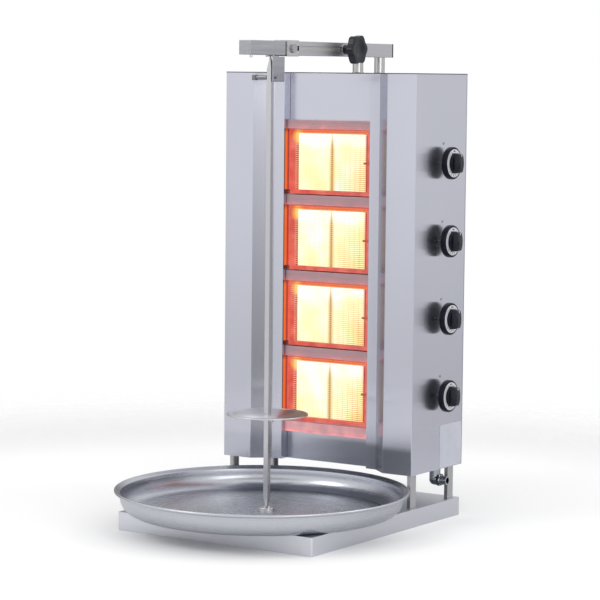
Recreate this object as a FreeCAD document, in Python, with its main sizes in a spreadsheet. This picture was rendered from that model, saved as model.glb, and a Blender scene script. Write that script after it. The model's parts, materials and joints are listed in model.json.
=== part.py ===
import FreeCAD, Part
import math
import os
import re

import Sketcher

# Doner kebab grill with four gas radiants, a sliding top arm, a hand turned spit and a round drip pan.
# Millimetres. +Z is up, the radiants face -Y, +X is the side with the knobs.
# The origin is the middle of the whole grill's outline, on the surface that it stands on.

doc = FreeCAD.newDocument("doner_kebab_grill")
Vector = FreeCAD.Vector

# Driving sizes

DRIVING = [
    ("base_side", 0.5, "base tray past the casing's sides"),
    ("base_deep", 630, "base tray, front to back"),
    ("base_tall", 41.5, "base tray's height"),
    ("base_lip", 22, "width of the tray's turned-in lower edge"),
    ("base_corner", 4, "outer radius of the tray's upright corners"),
    ("base_sheet", 1.5, "sheet of the tray"),
    ("leg_tall", 78, "gap between the tray and the casing"),
    ("leg_web", 25, "leg channel, front to back"),
    ("leg_flange", 9.5, "leg channel, side to side"),
    ("leg_sheet", 2.5, "sheet of the leg channels"),
    ("leg_inset", 9, "leg's outer face behind the casing's side"),
    ("leg_front_in", 13, "front legs behind the casing's front"),
    ("leg_back_in", 23, "rear legs ahead of the casing's back"),
    ("case_set_back", 408.6, "casing's front behind the tray's front"),
    ("case_wide", 522, "casing, side to side"),
    ("case_deep", 229, "casing, front to back"),
    ("case_tall", 911, "casing's height"),
    ("case_sheet", 1.5, "sheet of the casing"),
    ("case_lip", 12, "turned-in edges that carry the panels"),
    ("cover_thick", 2, "top cover"),
    ("slant_wide", 39.9, "slanted panel, side to side"),
    ("slant_deep", 33.3, "slanted panel, front to back"),
    ("strip_wide", 27, "flat strip between slant and opening"),
    ("recess_deep", 24.3, "strip to the plane of the radiants"),
    ("seat_gap", 0.5, "room round a panel that drops into the opening"),
    ("plaque_wide", 92, "ceramic plaque, side to side"),
    ("plaque_tall", 132, "ceramic plaque's height"),
    ("plaque_thick", 13, "ceramic plaque's thickness"),
    ("plaque_gap", 3, "bar between the two plaques"),
    ("plaque_room", 0.3, "room round each plaque in its window"),
    ("burner_drop", 141.8, "casing's top to the first plaque's top"),
    ("burner_pitch", 178.3, "radiant to radiant"),
    ("burner_lip", 10, "radiant's frame above and below the plaques"),
    ("burner_side", 23.4, "radiant's frame beside the plaques"),
    ("burner_wall", 3, "ledge that the plaques sit on, round the window"),
    ("burner_deep", 38, "radiant's box behind its frame"),
    ("burner_sheet", 1.5, "sheet of the radiant's box"),
    ("rail_tall", 23.7, "heat rail between two radiants"),
    ("rail_top_tall", 20.6, "heat rail over the first radiant"),
    ("rail_low_tall", 25, "heat rail under the last radiant"),
    ("rail_deep", 14, "heat rail, front to back"),
    ("rail_sheet", 1.2, "sheet of the heat rails"),
    ("mesh_back", 6.5, "mesh's front behind the rails' front"),
    ("mesh_thick", 1.2, "wire of the mesh"),
    ("mesh_rows", 24, "gaps of the mesh, up and down"),
    ("mesh_columns", 3, "gaps of the mesh, side to side"),
    ("probe_r", 2.5, "thermocouple's radius"),
    ("probe_in", 27, "thermocouple's tip inside the opening's edge"),
    ("mix_r", 17, "mixing tube's outer radius"),
    ("mix_wall", 2, "mixing tube's wall"),
    ("mix_left", 70, "mixing tube's closed end left of the middle"),
    ("mix_bell", 14, "length of the flared mouth"),
    ("mix_bell_r", 23, "radius of the flared mouth"),
    ("neck_x", 38, "neck's axis left of the middle"),
    ("neck_r", 13, "neck's outer radius"),
    ("injector_r", 7, "injector's radius"),
    ("injector_long", 20, "injector's length"),
    ("injector_in", 6, "injector's nose inside the flared mouth"),
    ("feed_r", 4, "feed pipe's radius"),
    ("bore_r", 2, "gas way through injector and feed pipe"),
    ("tap_set_back", 123.4, "tap's axis behind the casing's front"),
    ("tap_rise", 4.5, "tap's axis over the radiant's middle"),
    ("tap_r", 13, "tap body's radius"),
    ("feed_span", 38, "feed pipe, from injector to tap"),
    ("tap_in", 57, "tap body's inner end inside the casing's side"),
    ("tap_long", 44, "tap body's length"),
    ("tap_floor", 14, "tap body's closed end"),
    ("plug_r", 7, "tap plug's radius"),
    ("plug_long", 26, "tap plug's length"),
    ("run_fit", 0.05, "radial room of a turning fit"),
    ("stub_r", 8, "radius of the stub between tap and gas rail"),
    ("stem_r", 4, "knob stem's radius"),
    ("stem_flat", 3, "stem's flat from its axis"),
    ("stem_end", 6, "stem's inner end past the plug's inner end"),
    ("stem_hole_r", 6, "hole in the casing's side for the stem"),
    ("rail_pipe_r", 10.65, "gas rail's outer radius"),
    ("rail_pipe_wall", 2.6, "gas rail's wall"),
    ("rail_pipe_in", 33, "gas rail's axis inside the casing's side"),
    ("rail_pipe_back", 39, "gas rail's axis behind the taps' axes"),
    ("rail_pipe_top", 24, "gas rail's closed end over the top tap"),
    ("pipe_room", 1, "radial room round the gas rail in the floor"),
    ("elbow_drop", 31.5, "inlet's axis under the casing"),
    ("elbow_r", 13, "inlet elbow's outer radius"),
    ("elbow_long", 18, "elbow's body past the gas rail's axis"),
    ("inlet_r", 10.5, "inlet thread's radius"),
    ("inlet_bore_r", 7, "inlet's bore"),
    ("inlet_long", 16, "length of the inlet's thread"),
    ("knob_gap", 15.5, "casing's side to the knob's back"),
    ("knob_r", 37, "knob skirt's radius"),
    ("knob_thick", 13.5, "knob skirt's thickness"),
    ("knob_hub_r", 7, "radius of the boss behind the knob"),
    ("knob_hub_long", 4.5, "length of that boss"),
    ("knob_rim", 5, "skirt's rim round the dial"),
    ("grip_tall", 46, "grip's height"),
    ("grip_wide", 21, "grip's width"),
    ("grip_deep", 21.5, "grip's stand-out from the dial"),
    ("grip_round", 6, "radius of the grip's outer corners"),
    ("dial_thick", 0.8, "dial's thickness"),
    ("mark_r", 2, "index rivet's radius"),
    ("mark_rise", 44.5, "index rivet over the knob's axis"),
    ("post_r", 12.5, "arm posts' radius"),
    ("post_wall", 2, "arm posts' wall"),
    ("post_tall", 37, "arm posts' height over the casing"),
    ("post_drop", 70, "rear post's foot under the casing's top"),
    ("post_one", 260, "front post behind the tray's middle"),
    ("post_two", 356, "rear post behind the tray's middle"),
    ("bracket_thick", 3, "sheet of the rear post's bracket"),
    ("bracket_wide", 60, "bracket's plate, side to side"),
    ("bracket_tall", 58, "bracket's plate over its shelf"),
    ("bracket_edge", 4, "bracket's shelf past the post"),
    ("arm_wide", 32, "square section of head and sleeve"),
    ("arm_wall", 2, "sleeve's wall"),
    ("arm_room", 0.25, "room between arm and sleeve, each side"),
    ("sleeve_back", 386.5, "sleeve's rear end behind the tray's middle"),
    ("cap_thick", 5.5, "sleeve's end cap"),
    ("cap_plug", 12, "end cap's plug inside the sleeve"),
    ("cap_room", 0.2, "room between the cap's plug and the sleeve"),
    ("collar_wall", 2, "collar's wall"),
    ("collar_long", 48, "collar's length"),
    ("collar_notch", 14, "notch in the collar's rear edge"),
    ("collar_bolt_r", 10, "collar bolt's head radius"),
    ("collar_bolt_tall", 5, "collar bolt's head height"),
    ("collar_bolt_back", 23, "collar bolt behind the collar's front"),
    ("head_ahead", 99.5, "head's front ahead of the spit's axis"),
    ("head_long", 136, "head's length"),
    ("head_cap", 3, "head's closed front"),
    ("head_gap", 4, "gap between head and collar"),
    ("arm_in_head", 24, "arm inside the head"),
    ("arm_tail", 75, "arm behind the clamp screw"),
    ("arm_travel", 170, "arm's travel"),
    ("clamp_back", 237, "clamp screw behind the collar's front"),
    ("clamp_r", 5, "clamp screw's radius"),
    ("slot_room", 0.5, "room round the clamp screw in the slot"),
    ("slot_spare", 30, "slot past the clamp screw's foremost place"),
    ("washer_r", 11, "clamp washer's radius"),
    ("washer_thick", 3, "clamp washer's thickness"),
    ("star_stand", 20, "length of the star knob's hub"),
    ("star_hub_r", 11, "star knob's hub radius"),
    ("star_r", 32, "star knob's radius"),
    ("star_thick", 21, "star knob's thickness"),
    ("star_scallop_r", 10, "radius of the star knob's scallops"),
    ("star_lobes", 6, "lobes of the star knob"),
    ("nut_wide", 17, "nut inside the arm, across flats"),
    ("nut_thick", 8, "nut inside the arm, thickness"),
    ("bush_r", 9, "head bush's outer radius"),
    ("bush_flange_r", 12, "head bush's flange radius"),
    ("bush_flange", 2, "head bush's flange thickness"),
    ("pivot_r", 5, "hanger pivot's radius"),
    ("pivot_head_r", 8, "radius of the pivot's riveted head"),
    ("pivot_head", 3, "thickness of that head"),
    ("pivot_play", 0.1, "room between that head and the bush"),
    ("hanger_gap", 1, "gap between head and hanger"),
    ("hanger_sheet", 2.5, "sheet of the hanger"),
    ("hanger_side", 14, "hanger's outer face right of the spit's axis"),
    ("hanger_left", 7, "hanger's top tab left of the spit's axis"),
    ("hanger_ahead", 10.3, "hanger's front edge ahead of the spit's axis"),
    ("hanger_back", 36.7, "hanger's rear edge behind the spit's axis"),
    ("hanger_tab_back", 14, "top tab's rear edge behind the spit's axis"),
    ("hanger_tall", 58, "hanger's height"),
    ("pin_up", 9, "lock pin's axis over the hanger's lower edge"),
    ("pin_r", 3, "lock pin's radius"),
    ("pin_room", 0.1, "radial room round the lock pin"),
    ("pin_body_r", 5, "radius of the lock pin's grip"),
    ("pin_body_start", 8, "lock pin's grip left of the spit's axis"),
    ("pin_body_long", 28, "length of the lock pin's grip"),
    ("pin_head", 12, "lock pin's square head"),
    ("pin_head_thick", 10, "that head's thickness"),
    ("pin_past", 2, "lock pin past the hanger"),
    ("spit_wide", 12, "spit's square section"),
    ("spit_point", 3, "width of the spit's blunt points"),
    ("spit_taper", 28, "length of each point's taper"),
    ("spit_ahead", 104.7, "spit's axis ahead of the tray's middle"),
    ("disc_r", 91.5, "meat disc's radius"),
    ("disc_thick", 2, "sheet of the meat disc"),
    ("disc_rim", 3, "height of the disc with its turned rim"),
    ("disc_up", 222.2, "disc's top over the tray"),
    ("disc_hub_r", 13, "disc's hub radius"),
    ("disc_hub_long", 14, "disc's hub, from the disc's top"),
    ("disc_room", 0.3, "room round the spit in the disc"),
    ("stop_r", 2.5, "radius of the cross pin under the disc"),
    ("stop_long", 30, "length of that cross pin"),
    ("pan_flare", 13.2, "drip pan's rim past its wall"),
    ("pan_wall_r", 320, "drip pan's wall radius"),
    ("pan_tall", 53.3, "drip pan's height"),
    ("pan_bend_r", 36, "radius between floor and wall"),
    ("pan_lip", 9, "height of the flared rim"),
    ("pan_sheet", 1.6, "sheet of the pan"),
    ("pan_leg_gap", 1.79, "pan's rim ahead of the front legs"),
    ("cup_r", 18, "spit cup's radius"),
    ("cup_tall", 6.5, "spit cup's height"),
    ("cup_bore_r", 8.5, "radius of the cup's hollow"),
    ("cup_floor", 2, "cup's floor"),
    ("tip_gap", 0.6, "spit's point over the cup's floor"),
    ("screw_r", 2, "panel screws' radius"),
    ("screw_head_r", 4, "panel screws' head radius"),
    ("screw_head", 2.4, "panel screws' head height"),
    ("screw_long", 8, "panel screws' shank"),
    ("screw_room", 0.2, "radial room round the screws"),
    ("screw_edge", 6, "panel screws from the panel's side edges"),
    ("screw_first", 60, "first panel screw from the panel's ends"),
]

# Places and sizes that follow from the driving ones

DERIVED = [
    ("case_half", "case_wide / 2", "casing's side"),
    ("base_wide", "case_wide + 2 * base_side", "base tray, side to side"),
    ("pan_r", "pan_wall_r + pan_flare", "drip pan's rim radius"),
    ("leg_in", "case_half - leg_inset - leg_flange", "legs' inner edges"),
    ("leg_ahead", "base_deep / 2 - case_set_back - leg_front_in", "front legs ahead of the tray's middle"),
    ("pan_ahead", "leg_ahead + pan_leg_gap + sqrt(pan_r * pan_r - leg_in * leg_in)",
     "pan's middle ahead of the tray's middle"),
    ("base_mid", "(pan_ahead + pan_r - sleeve_back - cap_thick) / 2", "tray's middle"),
    ("base_front", "base_mid - base_deep / 2", "tray's front"),
    ("case_front", "base_front + case_set_back", "casing's front"),
    ("case_back", "case_front + case_deep", "casing's back"),
    ("case_low", "base_tall + leg_tall", "casing's underside"),
    ("case_high", "case_low + case_tall", "casing's top"),
    ("shell_high", "case_high - cover_thick", "top of the folded shells"),
    ("rear_y", "case_back - case_sheet", "front of the back panel"),
    ("plaque_half", "plaque_wide + plaque_gap / 2", "outer edge of the plaques"),
    ("frame_half", "plaque_half + burner_side", "half width of what fills the opening"),
    ("recess_x", "frame_half + seat_gap", "heat opening's side"),
    ("slant_x", "recess_x + strip_wide", "bend between slant and strip"),
    ("wing_x", "slant_x + slant_wide", "bend between front panel and slant"),
    ("strip_y", "case_front + slant_deep", "plane of the strips"),
    ("recess_y", "strip_y + recess_deep", "plane of the radiants"),
    ("panel_y", "recess_y + case_sheet", "back of what fills the opening"),
    ("skew", "tan(atan(slant_deep / slant_wide) / 2)", "sheet's shift at the slant's bends"),
    ("plaques_high", "case_high - burner_drop", "first plaque's top"),
    ("burner_one", "plaques_high - plaque_tall / 2", "first radiant's middle"),
    ("box_back", "panel_y + burner_deep", "back of the radiants' boxes"),
    ("rail_gap", "(burner_pitch - plaque_tall - rail_tall) / 2", "plaque to rail"),
    ("rail_front", "recess_y - rail_deep", "front of the heat rails"),
    ("opening_high", "plaques_high + rail_gap", "top of the first mesh"),
    ("opening_low", "plaques_high - plaque_tall - rail_gap - 3 * burner_pitch", "foot of the last mesh"),
    ("mesh_tall", "burner_pitch - rail_tall", "mesh's height"),
    ("mix_y", "box_back + mix_r + 2", "mixing tube's axis"),
    ("tap_y", "case_front + tap_set_back", "taps' axis"),
    ("tap_one", "burner_one + tap_rise", "top tap's axis"),
    ("tap_left", "case_half - tap_in", "tap body's inner end"),
    ("nose_x", "tap_left - feed_span - injector_long", "injector's nose"),
    ("mix_right", "nose_x + injector_in - mix_bell", "where the mixing tube flares"),
    ("tap_right", "tap_left + tap_long", "tap body's outer end"),
    ("pipe_y", "tap_y + rail_pipe_back", "gas rail's axis"),
    ("inlet_z", "case_low - elbow_drop", "inlet's axis"),
    ("rail_pipe_x", "case_half - rail_pipe_in", "gas rail right of the middle"),
    ("inlet_x", "rail_pipe_x + elbow_long", "start of the inlet's thread"),
    ("knob_x", "case_half + knob_gap", "knob's back"),
    ("dial_x", "knob_x + knob_thick", "knob skirt's front"),
    ("pan_y", "base_mid - pan_ahead", "pan's middle"),
    ("spit_y", "base_mid - spit_ahead", "spit's axis"),
    ("sleeve_low", "case_high + post_tall", "underside of head and sleeve"),
    ("arm_z", "sleeve_low + arm_wide / 2", "arm's middle"),
    ("arm_half", "arm_wide / 2", "outer face of head and sleeve"),
    ("arm_in", "arm_half - arm_wall - arm_room", "arm's outer face"),
    ("head_front", "spit_y - head_ahead", "head's front"),
    ("head_rear", "head_front + head_long", "head's rear"),
    ("collar_front", "head_rear + head_gap", "collar's front"),
    ("collar_rear", "collar_front + collar_long", "collar's rear"),
    ("sleeve_rear", "base_mid + sleeve_back", "sleeve's rear end"),
    ("clamp_y", "collar_front + clamp_back", "clamp screw's axis"),
    ("slot_half", "clamp_r + slot_room", "half height of the slot"),
    ("slot_front", "clamp_y - arm_travel - slot_spare", "slot's front centre"),
    ("star_x", "arm_half + washer_thick + star_stand", "star knob's back"),
    ("hanger_high", "sleeve_low - hanger_gap", "hanger's top"),
    ("hanger_low", "hanger_high - hanger_tall", "hanger's lower edge"),
    ("pin_z", "hanger_low + pin_up", "lock pin's axis"),
    ("pan_floor", "base_tall + pan_sheet", "pan's floor"),
    ("tip_z", "pan_floor + cup_floor + tip_gap", "spit's lower point"),
    ("spit_high", "hanger_high - hanger_sheet", "spit's upper point"),
    ("disc_z", "base_tall + disc_up", "disc's top"),
    ("stop_z", "disc_z - disc_hub_long - stop_r", "cross pin's axis"),
]

owner = {name: "Dim" for name, _, _ in DRIVING}
owner.update({name: "Pos" for name, _, _ in DERIVED})


def formula(text):
    """The same formula, each size's name pointed at the sheet that holds it."""
    def point(word):
        return f"{owner[word[0]]}.{word[0]}" if word[0] in owner else word[0]
    return re.sub(r"[a-z][a-z0-9_]*", point, str(text))


def sheet(name, rows, prefix):
    """A spreadsheet of names, values and notes, each value with its name as alias."""
    table = doc.addObject("Spreadsheet::Sheet", name)
    for row, (alias, value, note) in enumerate(rows, 1):
        table.set(f"A{row}", alias)
        table.set(f"B{row}", prefix + formula(value))
        table.setAlias(f"B{row}", alias)
        table.set(f"C{row}", note)
    doc.recompute()
    return table


driving = sheet("Dim", DRIVING, "")
derived = sheet("Pos", DERIVED, "=")


def number(text):
    """A formula's value."""
    return float(driving.evalExpression(formula(text)))


# Plain solids

TURN = {"X": (Vector(0, 1, 0), 90), "Y": (Vector(1, 0, 0), -90), "Z": (Vector(0, 0, 1), 0)}


def bind(piece, **formulas):
    """Tie the piece's properties to formulas."""
    for name, text in formulas.items():
        piece.setExpression(name, formula(text))
    return piece


def place(piece, x, y, z):
    """Tie the piece's place to formulas."""
    for axis, text in zip("xyz", (x, y, z)):
        piece.setExpression(f"Placement.Base.{axis}", formula(text))
    return piece


def box(name, x, y, z):
    """A block between low and high formulas along X, Y and Z."""
    piece = doc.addObject("Part::Box", name)
    for side, (low, high) in zip(("Length", "Width", "Height"), (x, y, z)):
        piece.setExpression(side, formula(f"({high}) - ({low})"))
    return place(piece, x[0], y[0], z[0])


def along(piece, axis, ends, centre):
    """Lay a round piece along an axis, from its low end, round a centre in the other two axes."""
    piece.Placement.Rotation = FreeCAD.Rotation(*TURN[axis])
    spot = {"X": (ends[0], *centre), "Y": (centre[0], ends[0], centre[1]), "Z": (*centre, ends[0])}
    return place(piece, *spot[axis])


def rod(name, axis, radius, ends, centre):
    """A cylinder along an axis between two formulas."""
    piece = doc.addObject("Part::Cylinder", name)
    bind(piece, Radius=radius, Height=f"({ends[1]}) - ({ends[0]})")
    return along(piece, axis, ends, centre)


def cone(name, axis, low_r, high_r, ends, centre):
    """A truncated cone along an axis between two formulas."""
    piece = doc.addObject("Part::Cone", name)
    bind(piece, Radius1=low_r, Radius2=high_r, Height=f"({ends[1]}) - ({ends[0]})")
    return along(piece, axis, ends, centre)


def fuse(name, *pieces):
    """Several solids as one."""
    piece = doc.addObject("Part::MultiFuse", name)
    piece.Shapes = list(pieces)
    return piece


def cut(name, base, *tools):
    """A solid less one or more others."""
    piece = doc.addObject("Part::Cut", name)
    piece.Base = base
    piece.Tool = tools[0] if len(tools) == 1 else fuse(name + "_tools", *tools)
    return piece


def tube(name, axis, radius, wall, ends, centre):
    """A round pipe, open at both ends."""
    outer = rod(name + "_outer", axis, radius, ends, centre)
    inner = rod(name + "_inner", axis, f"{radius} - {wall}", ends, centre)
    return cut(name, outer, inner)


nodes = []


def node(label, *pieces):
    """Name a finished piece, or a group of separate ones alike, as a node of the grill."""
    piece = pieces[0]
    if len(pieces) > 1:
        piece = doc.addObject("Part::Compound", label + "_group")
        piece.Links = list(pieces)
    piece.Label = label
    nodes.append(piece)
    return piece


# Sketched solids

def corner_centre(a, b, radius, side):
    """Centre of the arc of that radius from a to b, left of the way when side is 1."""
    middle, way = (a + b) / 2, b - a
    reach = math.sqrt(max(radius ** 2 - (way.Length / 2) ** 2, 0))
    return middle + Vector(-way.y, way.x, 0).normalize() * reach * side


def outline(body, name, plane, corners, rise="0"):
    """A closed sketch on an origin plane of the body, each corner tied to its two formulas.

    A corner with a third formula starts an arc of that radius: its centre is left of the way to
    the next corner, or right of it when a fourth entry says so.
    """
    sketch = body.newObject("Sketcher::SketchObject", name)
    face = next(item for item in body.Origin.OriginFeatures if item.Role == plane)
    sketch.AttachmentSupport = [(face, "")]
    sketch.MapMode = "FlatFace"
    sketch.setExpression("AttachmentOffset.Base.z", formula(rise))
    spots = [Vector(number(corner[0]), number(corner[1]), 0) for corner in corners]
    ends = []
    for index, (corner, spot) in enumerate(zip(corners, spots)):
        after = spots[(index + 1) % len(spots)]
        if len(corner) == 2:
            sketch.addGeometry(Part.LineSegment(spot, after), False)
            ends.append((1, 2))
            continue
        side = -1 if len(corner) == 4 else 1
        radius = number(corner[2])
        centre = corner_centre(spot, after, radius, side)
        first, last = (spot, after) if side == 1 else (after, spot)
        start, stop = (math.atan2(end.y - centre.y, end.x - centre.x) for end in (first, last))
        circle = Part.Circle(centre, Vector(0, 0, 1), radius)
        sketch.addGeometry(Part.ArcOfCircle(circle, start, stop), False)
        ends.append((1, 2) if side == 1 else (2, 1))
        tied = sketch.addConstraint(Sketcher.Constraint("Radius", index, radius))
        sketch.setExpression(f"Constraints[{tied}]", formula(corner[2]))
    for index, (start, stop) in enumerate(ends):
        after = (index + 1) % len(ends)
        sketch.addConstraint(Sketcher.Constraint("Coincident", index, stop, after, ends[after][0]))
        for kind, axis, text in zip(("DistanceX", "DistanceY"), (-2, -1), corners[index]):
            if text == "0":
                sketch.addConstraint(Sketcher.Constraint("PointOnObject", index, start, axis))
                continue
            tied = sketch.addConstraint(Sketcher.Constraint(kind, -1, 1, index, start, number(text)))
            sketch.setExpression(f"Constraints[{tied}]", formula(text))
    return sketch


def feature(body, kind, name, plane, corners, length, rise="0", middle=False):
    """A Pad or Pocket of an outline in the body. A Pocket goes against the plane's normal."""
    step = body.newObject("PartDesign::" + kind, name)
    step.Profile = outline(body, name + "_outline", plane, corners, rise)
    step.Midplane = middle
    bind(step, Length=length)
    body.Tip = step
    return step


def pad(name, plane, corners, length, rise="0", middle=False):
    """A body padded from one outline."""
    body = doc.addObject("PartDesign::Body", name)
    feature(body, "Pad", name + "_pad", plane, corners, length, rise, middle)
    return body


def spin(name, corners):
    """A body turned round its own Z axis from an outline of radius and height."""
    body = doc.addObject("PartDesign::Body", name)
    step = body.newObject("PartDesign::Revolution", name + "_turn")
    step.Profile = outline(body, name + "_outline", "XZ_Plane", corners)
    step.ReferenceAxis = (step.Profile[0], ["V_Axis"])
    step.Angle = 360
    body.Tip = step
    return body


def rectangle(x, y):
    """Four corners between low and high formulas."""
    return [(x[0], y[0]), (x[1], y[0]), (x[1], y[1]), (x[0], y[1])]


def rounded(half_x, y, radius):
    """A rectangle with rounded corners, as wide to the left as to the right."""
    (low, high), side, radius = y, f"({half_x})", f"({radius})"
    return [
        (f"-{side} + {radius}", low), (f"{side} - {radius}", low, radius),
        (side, f"{low} + {radius}"), (side, f"{high} - {radius}", radius),
        (f"{side} - {radius}", high), (f"-{side} + {radius}", high, radius),
        (f"-{side}", f"{high} - {radius}"), (f"-{side}", f"{low} + {radius}", radius),
    ]


def mirrored(corners):
    """The same corners on the other side of the grill's middle."""
    return [(f"-({corner[0]})", *corner[1:]) for corner in corners]


def both(name):
    """Left and right, each with its name and the sign of X."""
    return ((f"{name}_left", "-"), (f"{name}_right", ""))


# Base tray and legs

def base_tray():
    """Folded tray, open below, with its lower edges turned in."""
    body = doc.addObject("PartDesign::Body", "tray")
    ends = ("base_mid - base_deep / 2", "base_mid + base_deep / 2")
    inside = ("base_mid - base_deep / 2 + base_sheet", "base_mid + base_deep / 2 - base_sheet")
    mouth = ("base_mid - base_deep / 2 + base_lip", "base_mid + base_deep / 2 - base_lip")
    feature(body, "Pad", "tray_block", "XY_Plane", rounded("base_wide / 2", ends, "base_corner"), "base_tall")
    hollow = rounded("base_wide / 2 - base_sheet", inside, "base_corner - base_sheet")
    feature(body, "Pocket", "tray_hollow", "XY_Plane", hollow,
            "base_tall - 2 * base_sheet", "base_tall - base_sheet")
    half = "(base_wide / 2 - base_lip)"
    feature(body, "Pocket", "tray_mouth", "XY_Plane", rectangle(("-" + half, half), mouth),
            "base_sheet", "base_sheet")
    return node("base_tray", body)


def leg(name, sign, front):
    """A folded channel, its web outwards, between tray and casing."""
    back = f"({front}) + leg_web"
    out = "case_half - leg_inset"
    inner = f"{out} - leg_flange"
    corners = [
        (out, front), (out, back), (inner, back), (inner, f"{back} - leg_sheet"),
        (f"{out} - leg_sheet", f"{back} - leg_sheet"), (f"{out} - leg_sheet", f"({front}) + leg_sheet"),
        (inner, f"({front}) + leg_sheet"), (inner, front),
    ]
    if sign:
        corners = mirrored(corners)
    return pad(name, "XY_Plane", corners, "leg_tall", "base_tall")


def legs():
    """Four channels under the casing."""
    rows = (("front", "case_front + leg_front_in"), ("back", "case_back - leg_back_in - leg_web"))
    return node("legs", *(leg(f"leg_{row}{name}", sign, front)
                          for row, front in rows for name, sign in both("")))


# Casing

def casing_plan(inset, front, back):
    """The casing's outline seen from above, drawn in by an inset, with the heat opening's notch."""
    half = [
        (f"case_half - {inset}", back), (f"case_half - {inset}", f"case_front + {inset}"),
        (f"wing_x + {inset} * skew", f"case_front + {inset}"),
        (f"slant_x + {inset} * skew", f"strip_y + {inset}"),
        (f"recess_x + {inset}", f"strip_y + {inset}"), (f"recess_x + {inset}", front),
    ]
    return half + mirrored(half)[::-1]


def side_shell(label, sign, holes):
    """One folded sheet: side, front panel, slant, strip, the opening's side and two turned-in edges."""
    thick = "case_sheet"
    corners = [
        ("case_half", "rear_y"), ("case_half", "case_front"), ("wing_x", "case_front"),
        ("slant_x", "strip_y"), ("recess_x", "strip_y"), ("recess_x", "panel_y"),
        ("recess_x - case_lip", "panel_y"), ("recess_x - case_lip", f"panel_y + {thick}"),
        (f"recess_x + {thick}", f"panel_y + {thick}"), (f"recess_x + {thick}", f"strip_y + {thick}"),
        (f"slant_x + {thick} * skew", f"strip_y + {thick}"),
        (f"wing_x + {thick} * skew", f"case_front + {thick}"),
        (f"case_half - {thick}", f"case_front + {thick}"), (f"case_half - {thick}", f"rear_y - {thick}"),
        ("case_half - case_lip", f"rear_y - {thick}"), ("case_half - case_lip", "rear_y"),
    ]
    if sign:
        corners = mirrored(corners)
    body = pad(label + "_sheet", "XY_Plane", corners, "shell_high - case_low", "case_low")
    return node(label, cut(label + "_drilled", body, *holes) if holes else body)


BACK_SCREWS = [(sign, spot) for sign in ("-", "") for spot in range(4)]


def back_screw_place(sign, spot):
    """Where a screw of the back panel sits, in X and Z."""
    across = f"{sign}(case_half - screw_edge)"
    up = f"case_low + screw_first + (shell_high - case_low - 2 * screw_first) / 3 * {spot}"
    return across, up


def back_screw_holes(name, depth):
    """Holes for the back panel's screws, from its outer face forwards."""
    return [rod(f"{name}_{count}", "Y", "screw_r + screw_room", (f"case_back - {depth}", "case_back"),
                back_screw_place(*screw)) for count, screw in enumerate(BACK_SCREWS)]


def casing():
    """Both folded shells, the back, the top, the floor and the two plain panels of the opening."""
    for label, sign in (("left_shell", "-"), ("right_shell", "")):
        holes = back_screw_holes(label + "_hole", "2 * case_sheet")
        holes = holes[:4] if sign else holes[4:]
        if not sign:
            through = ("case_half - 2 * case_sheet", "case_half")
            holes += [rod(f"stem_hole_{i}", "X", "stem_hole_r", through, ("tap_y", tap_height(i)))
                      for i in range(4)]
            holes += [rod(f"mark_hole_{i}", "X", "mark_r", through, ("tap_y", f"{tap_height(i)} + mark_rise"))
                      for i in range(4)]
        side_shell(label, sign, holes)
    back = box("back_sheet", ("-case_half", "case_half"), ("rear_y", "case_back"), ("case_low", "shell_high"))
    node("back_panel", cut("back_drilled", back, *back_screw_holes("back_hole", "case_sheet")))
    node("top_cover", pad("cover", "XY_Plane", casing_plan("0 * case_sheet", "recess_y", "case_back"),
                          "cover_thick", "shell_high"))
    inset = "(case_sheet + seat_gap)"
    plan = casing_plan(inset, "panel_y + 2 * case_sheet", f"rear_y - {inset}")
    plate = pad("floor_sheet", "XY_Plane", plan, "case_sheet", "case_low")
    hole = rod("floor_hole", "Z", "rail_pipe_r + pipe_room", ("case_low", "case_low + case_sheet"),
               ("rail_pipe_x", "pipe_y"))
    node("casing_floor", cut("floor_drilled", plate, hole))
    across = ("-frame_half", "frame_half")
    node("upper_front", box("upper", across, ("recess_y", "panel_y"), (burner_high(0), "shell_high")))
    node("lower_front", box("lower", across, ("recess_y", "panel_y"), ("case_low", burner_low(3))))


def fasteners():
    """The back panel's screws."""
    screws = []
    for count, screw in enumerate(BACK_SCREWS):
        spot = back_screw_place(*screw)
        head = rod(f"screw_head_{count}", "Y", "screw_head_r", ("case_back", "case_back + screw_head"), spot)
        shank = rod(f"screw_shank_{count}", "Y", "screw_r", ("case_back - screw_long", "case_back"), spot)
        screws.append(fuse(f"back_screw_{count}", head, shank))
    node("back_screws", *screws)


# Radiants

def burner_middle(i):
    """Height of a radiant's middle, counted from the top."""
    return f"(burner_one - {i} * burner_pitch)"


def burner_high(i):
    """Top of a radiant's frame."""
    return f"({burner_middle(i)} + plaque_tall / 2 + burner_lip)"


def burner_low(i):
    """Foot of a radiant's frame."""
    return f"({burner_middle(i)} - plaque_tall / 2 - burner_lip)"


def tap_height(i):
    """Height of a tap's axis."""
    return f"(tap_one - {i} * burner_pitch)"


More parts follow.
